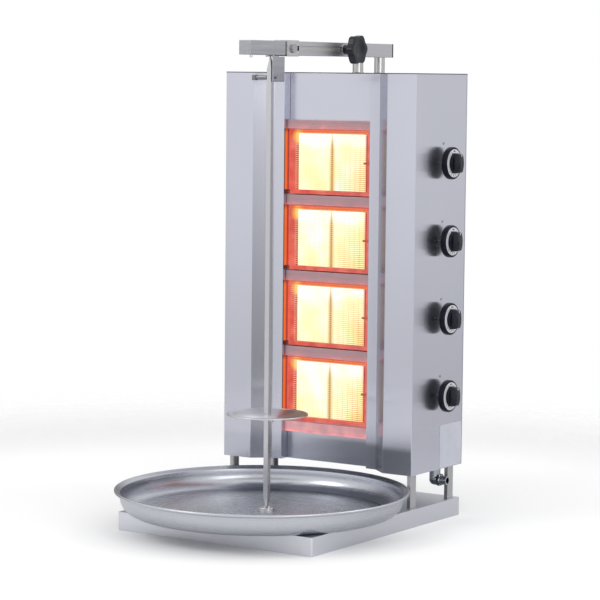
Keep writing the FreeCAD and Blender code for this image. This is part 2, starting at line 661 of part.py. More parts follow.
def burner(i):
    """Sheet box with a front frame, a window for two plaques, the bar between them and a ledge behind."""
    name, middle = f"burner_{i + 1}", burner_middle(i)
    window = ("-plaque_half", "plaque_half")
    window_z = (f"{middle} - plaque_tall / 2", f"{middle} + plaque_tall / 2")
    wall, ledge_y = "burner_sheet", "recess_y + plaque_thick + burner_sheet"
    out = ("-plaque_half - burner_wall", "plaque_half + burner_wall")
    out_z = (f"{window_z[0]} - burner_wall", f"{window_z[1]} + burner_wall")
    room = (f"{out[0]} + {wall}", f"{out[1]} - {wall}")
    room_z = (f"{out_z[0]} + {wall}", f"{out_z[1]} - {wall}")
    seat = (f"{window[0]} + burner_wall", f"{window[1]} - burner_wall")
    seat_z = (f"{window_z[0]} + burner_wall", f"{window_z[1]} - burner_wall")
    frame = box(name + "_frame", ("-frame_half", "frame_half"), ("recess_y", "panel_y"),
                (burner_low(i), burner_high(i)))
    block = box(name + "_block", out, ("panel_y", "box_back"), out_z)
    shape = cut(name + "_hollow", fuse(name + "_outside", frame, block),
                box(name + "_window", window, ("recess_y", ledge_y), window_z),
                box(name + "_room", room, (ledge_y + " + burner_sheet", f"box_back - {wall}"), room_z),
                box(name + "_seat", seat, (ledge_y, ledge_y + " + burner_sheet"), seat_z),
                rod(name + "_port", "Y", "neck_r - mix_wall", (f"box_back - {wall}", "box_back"),
                    ("-neck_x", middle)))
    bar = box(name + "_bar", ("-plaque_gap / 2", "plaque_gap / 2"), ("recess_y", ledge_y), window_z)
    return node(name, fuse(name + "_whole", shape, bar))


def plaques():
    """Two ceramic plaques in every radiant."""
    pieces = []
    near, far = "plaque_gap / 2 + plaque_room", "plaque_half - plaque_room"
    deep = ("recess_y + burner_sheet", "recess_y + burner_sheet + plaque_thick")
    for i in range(4):
        middle = burner_middle(i)
        tall = (f"{middle} - plaque_tall / 2 + plaque_room", f"{middle} + plaque_tall / 2 - plaque_room")
        for name, sign in both(f"plaque_{i}"):
            across = (f"-({far})", f"-({near})") if sign else (near, far)
            pieces.append(box(name, across, deep, tall))
    node("plaques", *pieces)


def rail(name, low, high):
    """A folded heat rail: a channel open to the back, across the opening."""
    across = ("-frame_half", "frame_half")
    block = box(name + "_block", across, ("rail_front", "recess_y"), (low, high))
    inside = box(name + "_inside", ("-frame_half + rail_sheet", "frame_half - rail_sheet"),
                 ("rail_front + rail_sheet", "recess_y"), (f"({low}) + rail_sheet", f"({high}) - rail_sheet"))
    return cut(name, block, inside)


def heat_rails():
    """Rails over, between and under the radiants."""
    between = [rail(f"rail_{i}", f"opening_high - mesh_tall - rail_tall - {i} * burner_pitch",
                    f"opening_high - mesh_tall - {i} * burner_pitch") for i in range(3)]
    top = rail("rail_top", "opening_high", "opening_high + rail_top_tall")
    low = rail("rail_low", "opening_low - rail_low_tall", "opening_low")
    node("heat_rails", top, *between, low)


def mesh_screen(i):
    """A flat mesh in front of a radiant, one face full of gaps given the wire's thickness."""
    wide, tall, wire = 2 * number("frame_half"), number("mesh_tall"), number("mesh_thick")
    rows, columns = round(number("mesh_rows")), round(number("mesh_columns"))
    gap_x = (wide - wire) / columns - wire
    gap_z = (tall - wire) / rows - wire

    def frame(x, z, width, height):
        spots = [Vector(x, 0, z), Vector(x + width, 0, z), Vector(x + width, 0, z + height),
                 Vector(x, 0, z + height)]
        return Part.makePolygon(spots + spots[:1])

    gaps = [frame(wire + column * (gap_x + wire), wire + row * (gap_z + wire), gap_x, gap_z)
            for row in range(rows) for column in range(columns)]
    net = Part.makeFace([frame(0, 0, wide, tall)] + gaps, "Part::FaceMakerBullseye")
    piece = doc.addObject("Part::Feature", f"mesh_{i}")
    piece.Shape = net.extrude(Vector(0, wire, 0))
    foot = f"opening_high - mesh_tall - {i} * burner_pitch"
    return place(piece, "-frame_half", "rail_front + mesh_back", foot)


def thermocouples():
    """A probe through each radiant's frame, its tip before the right-hand plaque."""
    probes = []
    for i in range(4):
        middle = burner_middle(i)
        tip, foot = "frame_half - probe_in", "frame_half - probe_in / 4"
        across = rod(f"probe_{i}_tip", "X", "probe_r", (tip, foot), ("recess_y - probe_r", middle))
        clip = box(f"probe_{i}_clip", ("frame_half - probe_in / 2", foot),
                   ("recess_y - 2 * probe_r", "recess_y"),
                   (f"{middle} - 2 * probe_r", f"{middle} + 2 * probe_r"))
        probes.append(fuse(f"probe_{i}", across, clip))
    node("thermocouples", *probes)


def mixing_tube(i):
    """The tube behind a radiant that mixes gas and air: closed left end, neck into the box, flared mouth."""
    name, middle = f"mix_{i}", burner_middle(i)
    centre = ("mix_y", middle)
    body = rod(name + "_body", "X", "mix_r", ("-mix_left", "mix_right"), centre)
    flare = cone(name + "_flare", "X", "mix_r", "mix_bell_r", ("mix_right", "mix_right + mix_bell"), centre)
    neck = rod(name + "_neck", "Y", "neck_r", ("box_back", "mix_y"), ("-neck_x", middle))
    inside = rod(name + "_inside", "X", "mix_r - mix_wall", ("-mix_left + mix_wall", "mix_right"), centre)
    mouth = cone(name + "_mouth", "X", "mix_r - mix_wall", "mix_bell_r - mix_wall",
                 ("mix_right", "mix_right + mix_bell"), centre)
    way = rod(name + "_way", "Y", "neck_r - mix_wall", ("box_back", "mix_y"), ("-neck_x", middle))
    return cut(name, fuse(name + "_outside", body, flare, neck), inside, mouth, way)


def radiants():
    """Everything that burns or holds what burns."""
    for i in range(4):
        burner(i)
    plaques()
    heat_rails()
    node("mesh_screens", *(mesh_screen(i) for i in range(4)))
    thermocouples()
    node("mixing_tubes", *(mixing_tube(i) for i in range(4)))


# Gas train

def injector(i):
    """Brass nozzle in front of the mixing tube's mouth."""
    centre = ("mix_y", burner_middle(i))
    shoulder, end = "nose_x + injector_long / 4", "nose_x + injector_long"
    nose = cone(f"nozzle_{i}_nose", "X", "injector_r / 2", "injector_r", ("nose_x", shoulder), centre)
    barrel = rod(f"nozzle_{i}_barrel", "X", "injector_r", (shoulder, end), centre)
    way = rod(f"nozzle_{i}_way", "X", "bore_r", ("nose_x", end), centre)
    return cut(f"nozzle_{i}", fuse(f"nozzle_{i}_outside", nose, barrel), way)


def feed_pipe(i):
    """Pipe from the injector across and up to the tap's inner end."""
    start, turn, end = "nose_x + injector_long", "(nose_x + injector_long + tap_left) / 2", "tap_left"
    low, high = ("mix_y", burner_middle(i)), ("tap_y", tap_height(i))
    line = [
        Vector(number(start), number(low[0]), number(low[1])),
        Vector(number(turn) - number("feed_r") * 2, number(low[0]), number(low[1])),
        Vector(number(turn) + number("feed_r") * 2, number(high[0]), number(high[1])),
        Vector(number(end), number(high[0]), number(high[1])),
    ]
    path = Part.Wire([Part.makeLine(a, b) for a, b in zip(line, line[1:])])
    rings = [Part.Wire(Part.makeCircle(number(size), line[0], Vector(1, 0, 0)))
             for size in ("feed_r", "bore_r")]
    pipe, way = (path.makePipeShell([ring], True, False, 1) for ring in rings)
    piece = doc.addObject("Part::Feature", f"feed_{i}")
    piece.Shape = pipe.cut(way)
    return piece


def tap(i):
    """Brass tap body with the plug's bore and the stub that joins the gas rail."""
    name, centre = f"tap_{i}", ("tap_y", tap_height(i))
    body = rod(name + "_body", "X", "tap_r", ("tap_left", "tap_right"), centre)
    stub = rod(name + "_stub", "Y", "stub_r", ("tap_y", "pipe_y"), ("rail_pipe_x", tap_height(i)))
    bore = rod(name + "_bore", "X", "plug_r + run_fit", ("tap_left + tap_floor", "tap_right"), centre)
    way = rod(name + "_way", "X", "bore_r", ("tap_left", "tap_left + tap_floor"), centre)
    span = (f"{tap_height(i)} - 2 * stub_r", f"{tap_height(i)} + 2 * stub_r")
    seat = rod(name + "_seat", "Z", "rail_pipe_r", span, ("rail_pipe_x", "pipe_y"))
    return cut(name, fuse(name + "_outside", body, stub), bore, way, seat)


def gas_train():
    """Inlet elbow, gas rail, taps, feed pipes and injectors."""
    node("injectors", *(injector(i) for i in range(4)))
    node("feed_pipes", *(feed_pipe(i) for i in range(4)))
    node("tap_bodies", *(tap(i) for i in range(4)))
    centre = ("rail_pipe_x", "pipe_y")
    top = "tap_one + rail_pipe_top"
    outer = rod("gas_rail_outer", "Z", "rail_pipe_r", ("case_low", top), centre)
    inner = rod("gas_rail_inner", "Z", "rail_pipe_r - rail_pipe_wall",
                ("case_low", f"{top} - rail_pipe_wall"), centre)
    node("gas_rail", cut("gas_rail_pipe", outer, inner))
    across = ("pipe_y", "inlet_z")
    down = rod("elbow_down", "Z", "elbow_r", ("inlet_z", "case_low"), centre)
    out = rod("elbow_out", "X", "elbow_r", ("rail_pipe_x", "inlet_x"), across)
    heel = doc.addObject("Part::Sphere", "elbow_heel")
    place(bind(heel, Radius="elbow_r"), "rail_pipe_x", "pipe_y", "inlet_z")
    thread = rod("elbow_thread", "X", "inlet_r", ("inlet_x", "inlet_x + inlet_long"), across)
    way_up = rod("elbow_way_up", "Z", "inlet_bore_r", ("inlet_z", "case_low"), centre)
    way_out = rod("elbow_way_out", "X", "inlet_bore_r", ("rail_pipe_x", "inlet_x + inlet_long"), across)
    heel_way = doc.addObject("Part::Sphere", "elbow_heel_way")
    place(bind(heel_way, Radius="inlet_bore_r"), "rail_pipe_x", "pipe_y", "inlet_z")
    outside = fuse("elbow_outside", down, out, heel, thread)
    node("inlet_elbow", cut("elbow", outside, way_up, way_out, heel_way))


# Knobs

def stem_shape(name, room, ends, centre):
    """The stem's round section less its flat, with room round it where it is a hole."""
    y, z = centre
    shaft = rod(name + "_shaft", "X", f"stem_r + {room}", ends, centre)
    flat = box(name + "_flat", ends, (f"{y} - 2 * stem_r", f"{y} + 2 * stem_r"),
               (f"{z} + stem_flat + {room}", f"{z} + 2 * stem_r"))
    return cut(name, shaft, flat)


def knob_set(i):
    """Plug, stem, knob and dial of one tap."""
    y, z = "tap_y", tap_height(i)
    count = i + 1
    plug_x = "tap_left + tap_floor + 2 * run_fit"
    plug = rod(f"plug_{i}", "X", "plug_r", (plug_x, f"{plug_x} + plug_long"), (y, z))
    hole = stem_shape(f"plug_{i}_hole", "run_fit", (plug_x, f"{plug_x} + plug_long"), (y, z))
    node(f"tap_plug_{count}", cut(f"plug_{i}_keyed", plug, hole))
    seat = "dial_x - dial_thick"
    node(f"tap_stem_{count}", stem_shape(f"stem_{i}", "0", (f"{plug_x} + stem_end", seat), (y, z)))
    skirt = rod(f"knob_{i}_skirt", "X", "knob_r", ("knob_x", "dial_x"), (y, z))
    hub = rod(f"knob_{i}_hub", "X", "knob_hub_r", ("knob_x - knob_hub_long", "knob_x"), (y, z))
    pan = rod(f"knob_{i}_recess", "X", "knob_r - knob_rim", (seat, "dial_x"), (y, z))
    hole = stem_shape(f"knob_{i}_hole", "0", ("knob_x - knob_hub_long", seat), (y, z))
    hollow = cut(f"knob_{i}_dished", fuse(f"knob_{i}_disc", skirt, hub), pan, hole)
    tip, half = "grip_deep", "grip_tall / 2"
    grip = pad(f"knob_{i}_grip", "XZ_Plane", [
        ("0", f"-{half}"), (f"{tip} - grip_round", f"-{half}", "grip_round"),
        (tip, f"-{half} + grip_round"), (tip, f"{half} - grip_round", "grip_round"),
        (f"{tip} - grip_round", half), ("0", half),
    ], "grip_wide", middle=True)
    place(grip, seat, y, z)
    node(f"knob_{count}", fuse(f"knob_{i}_whole", hollow, grip))
    dial = rod(f"dial_{i}_disc", "X", "knob_r - knob_rim", (seat, "dial_x"), (y, z))
    window = box(f"dial_{i}_window", (seat, "dial_x"), (f"{y} - grip_wide / 2", f"{y} + grip_wide / 2"),
                 (f"{z} - {half}", f"{z} + {half}"))
    node(f"dial_{count}", cut(f"dial_{i}", dial, window))


def index_rivets():
    """The small rivet over each knob that its dial is read against."""
    rivets = []
    for i in range(4):
        spot = ("tap_y", f"{tap_height(i)} + mark_rise")
        shank = rod(f"rivet_{i}_shank", "X", "mark_r", ("case_half - 2 * case_sheet", "case_half"), spot)
        head = rod(f"rivet_{i}_head", "X", "1.5 * mark_r", ("case_half", "case_half + mark_r / 2"), spot)
        rivets.append(fuse(f"rivet_{i}", shank, head))
    node("index_rivets", *rivets)


# Top arm

def square_tube(name, half, wall, ends):
    """A square pipe along Y round the arm's middle."""
    def block(part, size):
        return box(name + part, (f"-({size})", size), ends, (f"arm_z - ({size})", f"arm_z + ({size})"))
    return cut(name, block("_outer", half), block("_inner", f"{half} - {wall}"))


def slot(name, ends, x):
    """A slot with round ends along Y, through a wall between two X formulas."""
    block = box(name + "_block", x, ends, ("arm_z - slot_half", "arm_z + slot_half"))
    rounds = [rod(f"{name}_end_{count}", "X", "slot_half", x, (end, "arm_z"))
              for count, end in enumerate(ends)]
    return fuse(name, block, *rounds)


def arm_support():
    """Post on the casing, post on a bracket behind it, slotted sleeve, end cap, collar and its bolt."""
    foot, rear = "(case_high - post_drop)", "(base_mid + post_two)"
    front_post = tube("front_post", "Z", "post_r", "post_wall", ("case_high", "sleeve_low"),
                      ("0", "base_mid + post_one"))
    rear_post = tube("rear_post", "Z", "post_r", "post_wall", (foot, "sleeve_low"), ("0", rear))
    plate = box("bracket_plate", ("-bracket_wide / 2", "bracket_wide / 2"),
                ("case_back", "case_back + bracket_thick"),
                (f"{foot} - bracket_thick", f"{foot} + bracket_tall"))
    shelf = box("bracket_shelf", ("-post_r - bracket_edge", "post_r + bracket_edge"),
                ("case_back", f"{rear} + post_r + bracket_edge"), (f"{foot} - bracket_thick", foot))
    node("arm_stand", fuse("stand", front_post, fuse("rear_stand", rear_post, plate, shelf)))
    wall_x = ("arm_half - arm_wall", "arm_half")
    bolt_spot = ("collar_front + collar_bolt_back", "arm_z")
    sleeve = square_tube("sleeve", "arm_half", "arm_wall", ("collar_front", "sleeve_rear"))
    node("guide_sleeve", cut("sleeve_slotted", sleeve, slot("sleeve_slot", ("slot_front", "clamp_y"), wall_x),
                             rod("sleeve_tap", "X", "screw_r", wall_x, bolt_spot)))
    out = "arm_half + collar_wall"
    ring = square_tube("collar_tube", out, "collar_wall", ("collar_front", "collar_rear"))
    notch = box("collar_notch_block", ("arm_half", out), ("collar_rear - collar_notch", "collar_rear"),
                ("arm_z - slot_half", "arm_z + slot_half"))
    hole = rod("collar_hole", "X", "screw_r", ("arm_half", out), bolt_spot)
    node("sleeve_collar", cut("collar", ring, notch, hole))
    head = rod("collar_bolt_head", "X", "collar_bolt_r", (out, f"{out} + collar_bolt_tall"), bolt_spot)
    shank = rod("collar_bolt_shank", "X", "screw_r", ("arm_half - arm_wall", out), bolt_spot)
    node("collar_bolt", fuse("collar_bolt_whole", head, shank))
    flat = box("cap_flat", ("-arm_half", "arm_half"), ("sleeve_rear", "sleeve_rear + cap_thick"),
               ("arm_z - arm_half", "arm_z + arm_half"))
    inner = "(arm_half - arm_wall - cap_room)"
    stopper = box("cap_stopper", ("-" + inner, inner), ("sleeve_rear - cap_plug", "sleeve_rear"),
                  (f"arm_z - {inner}", f"arm_z + {inner}"))
    node("sleeve_cap", fuse("cap", flat, stopper))


def arm():
    """The sliding arm, its closed head with the bush, and the nut of the clamp screw."""
    tail = "clamp_y + arm_tail"
    inner = square_tube("arm_tube", "arm_in", "arm_wall", ("head_rear - arm_in_head", tail))
    hole = rod("arm_hole", "X", "clamp_r + pin_room", ("arm_in - arm_wall", "arm_in"), ("clamp_y", "arm_z"))
    node("arm", cut("arm_drilled", inner, hole))
    shell = box("head_shell", ("-arm_half", "arm_half"), ("head_front", "head_rear"),
                ("sleeve_low", "sleeve_low + arm_wide"))
    inside = box("head_inside", ("-arm_in", "arm_in"), ("head_front + head_cap", "head_rear"),
                 ("arm_z - arm_in", "arm_z + arm_in"))
    seat = rod("head_seat", "Z", "bush_r", ("sleeve_low", "arm_z"), ("0", "spit_y"))
    node("arm_head", cut("head", shell, inside, seat))
    floor = "arm_z - arm_in"
    barrel = rod("bush_barrel", "Z", "bush_r", ("sleeve_low", floor), ("0", "spit_y"))
    flange = rod("bush_flange_disc", "Z", "bush_flange_r", (floor, f"{floor} + bush_flange"), ("0", "spit_y"))
    bore = rod("bush_bore", "Z", "pivot_r + run_fit", ("sleeve_low", f"{floor} + bush_flange"),
               ("0", "spit_y"))
    node("head_bush", cut("bush", fuse("bush_whole", barrel, flange), bore))
    face = "arm_in - arm_wall"
    block = box("nut_block", (f"{face} - nut_thick", face),
                ("clamp_y - nut_wide / 2", "clamp_y + nut_wide / 2"),
                ("arm_z - nut_wide / 2", "arm_z + nut_wide / 2"))
    thread = rod("nut_thread", "X", "clamp_r + run_fit", (f"{face} - nut_thick", face), ("clamp_y", "arm_z"))
    node("clamp_nut", cut("nut", block, thread))


def clamp():
    """Washer, screw and star knob that lock the arm in its sleeve."""
    centre = ("clamp_y", "arm_z")
    plate = rod("washer_plate", "X", "washer_r", ("arm_half", "arm_half + washer_thick"), centre)
    hole = rod("washer_hole", "X", "clamp_r + pin_room", ("arm_half", "arm_half + washer_thick"), centre)
    node("clamp_washer", cut("washer", plate, hole))
    end = "star_x + star_thick / 2"
    start = "arm_in - arm_wall - nut_thick"
    node("clamp_screw", rod("screw", "X", "clamp_r", (start, end), centre))
    body = doc.addObject("PartDesign::Body", "star")
    disc = body.newObject("PartDesign::AdditiveCylinder", "star_disc")
    bind(disc, Radius="star_r", Height="star_thick")
    scallop = body.newObject("PartDesign::SubtractiveCylinder", "star_scallop")
    bind(scallop, Radius="star_scallop_r", Height="star_thick")
    reach = "(star_r + star_scallop_r * 0.55)"
    scallop.setExpression("Placement.Base.x", formula(f"-{reach}"))
    doc.recompute()
    ring = body.newObject("PartDesign::PolarPattern", "star_lobes")
    ring.Originals = [scallop]
    axis = next(item for item in body.Origin.OriginFeatures if item.Role == "Z_Axis")
    ring.Axis = (axis, [""])
    ring.Angle = 360
    bind(ring, Occurrences="star_lobes")
    body.Tip = ring
    body.Placement.Rotation = FreeCAD.Rotation(*TURN["X"])
    place(body, "star_x", *centre)
    hub = rod("star_hub", "X", "star_hub_r", ("arm_half + washer_thick", "star_x"), centre)
    bore = rod("star_bore", "X", "clamp_r", ("arm_half + washer_thick", end), centre)
    node("star_knob", cut("star_drilled", fuse("star_whole", body, hub), bore))


# Spit and what turns with it

def hanger():
    """Folded plate that the spit hangs in: a side, a top tab and the pivot that turns in the head."""
    side_x, front = ("hanger_side - hanger_sheet", "hanger_side"), "spit_y - hanger_ahead"
    side = box("hanger_plate", side_x, (front, "spit_y + hanger_back"), ("hanger_low", "spit_high"))
    tab = box("hanger_tab", ("-hanger_left", "hanger_side"), (front, "spit_y + hanger_tab_back"),
              ("spit_high", "hanger_high"))
    head = "arm_z - arm_in + bush_flange + pivot_play"
    pivot = rod("hanger_pivot", "Z", "pivot_r", ("hanger_high", head), ("0", "spit_y"))
    rivet = rod("hanger_rivet", "Z", "pivot_head_r", (head, f"{head} + pivot_head"), ("0", "spit_y"))
    hole = rod("hanger_hole", "X", "pin_r + pin_room", side_x, ("spit_y", "pin_z"))
    node("hanger", cut("hanger_drilled", fuse("hanger_whole", side, tab, pivot, rivet), hole))


def point(name, low, high, foot, top):
    """A square taper from one width to another, between two heights, on the spit's axis."""
    piece = doc.addObject("Part::Wedge", name)
    bind(piece, Xmin=f"-{foot} / 2", Xmax=f"{foot} / 2", Zmin=f"-{foot} / 2", Zmax=f"{foot} / 2",
         X2min=f"-{top} / 2", X2max=f"{top} / 2", Z2min=f"-{top} / 2", Z2max=f"{top} / 2",
         Ymin="0 * base_tall", Ymax=f"({high}) - ({low})")
    piece.Placement.Rotation = FreeCAD.Rotation(Vector(1, 0, 0), 90)
    return place(piece, "0", "spit_y", low)


def spit():
    """Square bar pointed at both ends, the lock pin's hole and the cross pin that carries the disc."""
    low, high = "tip_z + spit_taper", "spit_high - spit_taper"
    half = ("-spit_wide / 2", "spit_wide / 2")
    bar = box("spit_bar", half, ("spit_y - spit_wide / 2", "spit_y + spit_wide / 2"), (low, high))
    foot = point("spit_foot", "tip_z", low, "spit_point", "spit_wide")
    top = point("spit_top", high, "spit_high", "spit_wide", "spit_point")
    lock = rod("spit_lock_hole", "X", "pin_r + pin_room", half, ("spit_y", "pin_z"))
    stop = rod("spit_stop_hole", "X", "stop_r", half, ("spit_y", "stop_z"))
    node("spit", cut("spit_drilled", fuse("spit_whole", foot, bar, top), lock, stop))
    across = ("-stop_long / 2", "stop_long / 2")
    node("disc_pin", rod("stop_pin", "X", "stop_r", across, ("spit_y", "stop_z")))


def lock_pin():
    """Pin with a round grip and a square head, through the spit into the hanger."""
    centre = ("spit_y", "pin_z")
    grip = ("-pin_body_start - pin_body_long", "-pin_body_start")
    head = (f"{grip[0]} - pin_head_thick", grip[0])
    shaft = rod("pin_shaft", "X", "pin_r", ("-pin_body_start", "hanger_side + pin_past"), centre)
    body = rod("pin_grip", "X", "pin_body_r", grip, centre)
    block = box("pin_block", head, ("spit_y - pin_head / 2", "spit_y + pin_head / 2"),
                ("pin_z - pin_head / 2", "pin_z + pin_head / 2"))
    node("lock_pin", fuse("pin", shaft, body, block))


def meat_disc():
    """Dished disc with a hub, square-holed to slide on the spit."""
    low = "disc_z - disc_rim"
    outer = rod("disc_outer", "Z", "disc_r", (low, "disc_z"), ("0", "spit_y"))
    inner = rod("disc_inner", "Z", "disc_r - disc_thick", (low, "disc_z - disc_thick"), ("0", "spit_y"))
    hub = rod("disc_hub", "Z", "disc_hub_r", ("disc_z - disc_hub_long", "disc_z"), ("0", "spit_y"))
    half = "(spit_wide / 2 + disc_room)"
    hole = box("disc_hole", ("-" + half, half), (f"spit_y - {half}", f"spit_y + {half}"),
               ("disc_z - disc_hub_long", "disc_z"))
    node("meat_disc", cut("disc", fuse("disc_whole", cut("disc_dish", outer, inner), hub), hole))


# Drip pan

def drip_pan():
    """Round pan turned from one profile: floor, bend, wall and flared rim."""
    bend, wall, thick = "pan_bend_r", "pan_wall_r", "pan_sheet"
    body = spin("pan", [
        ("0", "0"), (f"{wall} - {bend}", "0", bend), (wall, bend),
        (wall, "pan_tall - pan_lip"), ("pan_r", f"pan_tall - {thick}"), ("pan_r", "pan_tall"),
        (f"pan_r - {thick}", "pan_tall"), (f"{wall} - {thick}", f"pan_tall - pan_lip + {thick}"),
        (f"{wall} - {thick}", bend, f"{bend} - {thick}", "right"),
        (f"{wall} - {bend}", thick), ("0", thick),
    ])
    place(body, "0", "pan_y", "base_tall")
    node("drip_pan", body)
    cup = spin("cup", [
        ("0", "0"), ("cup_r", "0"), ("cup_r", "cup_tall - cup_floor / 2"),
        ("cup_r - cup_floor / 2", "cup_tall"),
        ("cup_bore_r", "cup_tall"), ("cup_bore_r - cup_floor", "cup_floor"), ("0", "cup_floor"),
    ])
    place(cup, "0", "spit_y", "pan_floor")
    node("spit_cup", cup)


# The grill

def build():
    """Make every piece."""
    base_tray()
    legs()
    casing()
    fasteners()
    radiants()
    gas_train()
    for i in range(4):
        knob_set(i)
    index_rivets()
    arm_support()
    arm()
    clamp()
    hanger()
    spit()
    lock_pin()
    meat_disc()
    drip_pan()


def check():
    """Stop if any object failed to build or any node's shape is empty or unsound."""
    doc.recompute()
    failed = [item.Label for item in doc.Objects if {"Invalid", "Error"} & set(item.State)]
    failed += [item.Label for item in nodes if item.Shape.isNull() or not item.Shape.isValid()]
    if failed:
        raise RuntimeError("not built: " + ", ".join(failed))


def write():
    """Write each node to its own STEP file."""
    os.makedirs("parts", exist_ok=True)
    for item in nodes:
        item.Shape.exportStep(f"parts/{item.Label}.step")
        print(f"{item.Label:16} {len(item.Shape.Solids):3} solids {item.Shape.Volume / 1000:10.2f} cm3")
    print(len(nodes), "nodes")


build()
check()
write()
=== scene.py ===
# %% [markdown]
# # A doner kebab grill, dressed step by step
# The frame holds every steel part at its real size. This lesson softens the folded sheets, turns the
# pan and the knobs, weaves the hot mesh and gives each surface its finish. Lengths are in metres,
# +Z is up, the radiants face -Y and the knobs are on +X.

# %% Load the frame
import bmesh
import bpy
import json
import math
from mathutils import Matrix, Vector


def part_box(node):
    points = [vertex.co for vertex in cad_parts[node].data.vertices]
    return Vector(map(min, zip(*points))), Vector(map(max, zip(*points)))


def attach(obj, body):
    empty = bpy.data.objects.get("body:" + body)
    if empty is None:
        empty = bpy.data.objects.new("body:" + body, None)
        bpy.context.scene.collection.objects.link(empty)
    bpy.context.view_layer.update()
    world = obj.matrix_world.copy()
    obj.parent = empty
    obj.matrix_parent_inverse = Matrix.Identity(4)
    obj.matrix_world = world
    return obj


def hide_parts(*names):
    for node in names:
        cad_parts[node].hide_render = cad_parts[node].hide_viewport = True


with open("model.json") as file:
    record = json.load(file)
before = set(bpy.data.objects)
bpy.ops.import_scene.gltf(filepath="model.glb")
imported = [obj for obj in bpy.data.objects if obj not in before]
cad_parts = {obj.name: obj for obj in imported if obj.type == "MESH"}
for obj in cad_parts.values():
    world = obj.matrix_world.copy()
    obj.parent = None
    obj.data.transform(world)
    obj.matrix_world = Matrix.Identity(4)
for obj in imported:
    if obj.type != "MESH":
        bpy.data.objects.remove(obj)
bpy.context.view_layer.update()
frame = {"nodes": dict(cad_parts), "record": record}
MM = 0.001
BURNERS = 4
scene = bpy.context.scene
members_of = frame["record"]["behaviour"]["bodies"]
body_of = {node: body for body, members in members_of.items() for node in members}
slot_of = {part["node"]: part["material_slot"] for part in frame["record"]["subparts"]}


def put(name, data):
    """A new object in the scene."""
    item = bpy.data.objects.new(name, data)
    scene.collection.objects.link(item)
    return item


# %% [markdown]
# ## Camera
# The picture was taken with a long lens from the front right, a little above the middle of the
# grill. The place and angle were worked out from the casing's straight edges and the pan's oval,
# so the camera is set from those few numbers and never aimed by hand.

# %% Place the camera
PICTURE = 600
FOCAL_PIXELS = 2412.16
HEADING, HEIGHT_ANGLE, ROLL = (math.radians(angle) for angle in (33.615, 5.331, 0.560))
CAMERA_PLACE = Vector((3.0441, -4.5232, 1.0242))
SENSOR = 36

camera_data = bpy.data.cameras.new("camera")
camera_data.sensor_width = SENSOR
camera_data.lens = SENSOR * FOCAL_PIXELS / PICTURE
camera = put("camera", camera_data)
turn = Matrix.Rotation(HEADING, 3, "Z") @ Matrix.Rotation(math.pi / 2 - HEIGHT_ANGLE, 3, "X")
camera.matrix_world = Matrix.Translation(CAMERA_PLACE) @ (turn @ Matrix.Rotation(ROLL, 3, "Z")).to_4x4()
scene.camera = camera
print("lens", round(camera_data.lens, 1), "mm")

# %% [markdown]
# ## Studio
# Steel shows what stands round it, so the studio matters more than the steel's own colour. A pale
# floor and a white surround would leave it flat. The surround is therefore white to the camera,
# and to reflections a white room with grey walls to the sides and a dark one behind.
# Three soft lamps add the light streaks in the pan and the shade under it.

# %% Name the room's shades
BLACK, WHITE = (0.0, 0.0, 0.0), (1, 1, 1)
WALL_STOPS = ((0.0, 0.50), (0.07, 0.85), (0.14, 1.0), (0.22, 1.0), (0.31, 1.0), (0.375, 1.0),
              (0.43, 0.80), (0.53, 0.90), (0.64, 0.88), (0.74, 0.62), (0.80, 0.30), (0.855, 0.10),
              (0.93, 0.22), (1.0, 0.50))
LOW_STOPS = ((0.0, 0.25), (0.10, 0.60), (0.20, 0.66), (0.30, 0.50), (0.375, 0.22), (0.43, 0.30),
             (0.53, 0.60), (0.66, 0.62), (0.76, 0.42), (0.855, 0.10), (0.94, 0.25), (1.0, 0.25))
LOW_WALLS, CEILING = (-0.05, -0.16), (0.16, 0.5)

print(len(WALL_STOPS), "shades round the walls,", len(LOW_STOPS), "below them")

# %% [markdown]
# A node tree reads more easily as arithmetic. A few helpers add one node each and hand back its
# result, so that a shade or a mask can be written as one line.

# %% Helpers for node trees


def shader_tree(owner):
    """The emptied node tree of a material or world."""
    owner.use_nodes = True
    owner.node_tree.nodes.clear()
    return owner.node_tree


def add(kind, inputs=None, tree=None, family="ShaderNode", **settings):
    """A node with its settings, its inputs set to values or joined to other sockets. It goes into
    the tree of those sockets, so only a node without any has to be told its tree."""
    joined = [value for value in (inputs or {}).values() if isinstance(value, bpy.types.NodeSocket)]
    tree = tree or joined[0].id_data
    item = tree.nodes.new(family + kind)
    for name, value in settings.items():
        setattr(item, name, value)
    for name, value in (inputs or {}).items():
        if isinstance(value, bpy.types.NodeSocket):
            tree.links.new(value, item.inputs[name])
        else:
            item.inputs[name].default_value = value
    return item


def ramp(factor, stops):
    """A colour ramp of (place, colour or grey) stops."""
    item = add("ValToRGB", {0: factor})
    elements = item.color_ramp.elements
    for index, (place, colour) in enumerate(stops):
        element = elements[index] if index < 2 else elements.new(place)
        element.position = place
        element.color = (*colour, 1) if isinstance(colour, tuple) else (colour, colour, colour, 1)
    return item.outputs[0]


def ray(place, kind):
    """Whether a ray from the camera, or in a reflection, sees the place."""
    return add("LightPath", tree=place.id_data).outputs[f"Is {kind} Ray"]


def calc(operation, *values, clamp=False):
    """A Math node's result."""
    item = add("Math", dict(enumerate(values)), operation=operation)
    item.use_clamp = clamp
    return item.outputs[0]


def times(first, second):
    """The product of two values or sockets."""
    return calc("MULTIPLY", first, second)


def scaled(value, by, plus, clamp=False):
    """A value multiplied, then added to."""
    return calc("MULTIPLY_ADD", value, by, plus, clamp=clamp)


def span(value, start, end, low=0.0, high=1.0):
    """How far a value lies from start to end, as a number between low and high."""
    return add("MapRange", {0: value, 1: start, 2: end, 3: low, 4: high}).outputs[0]


def axes(vector):
    """The three parts of a vector."""
    return add("SeparateXYZ", {0: vector}).outputs


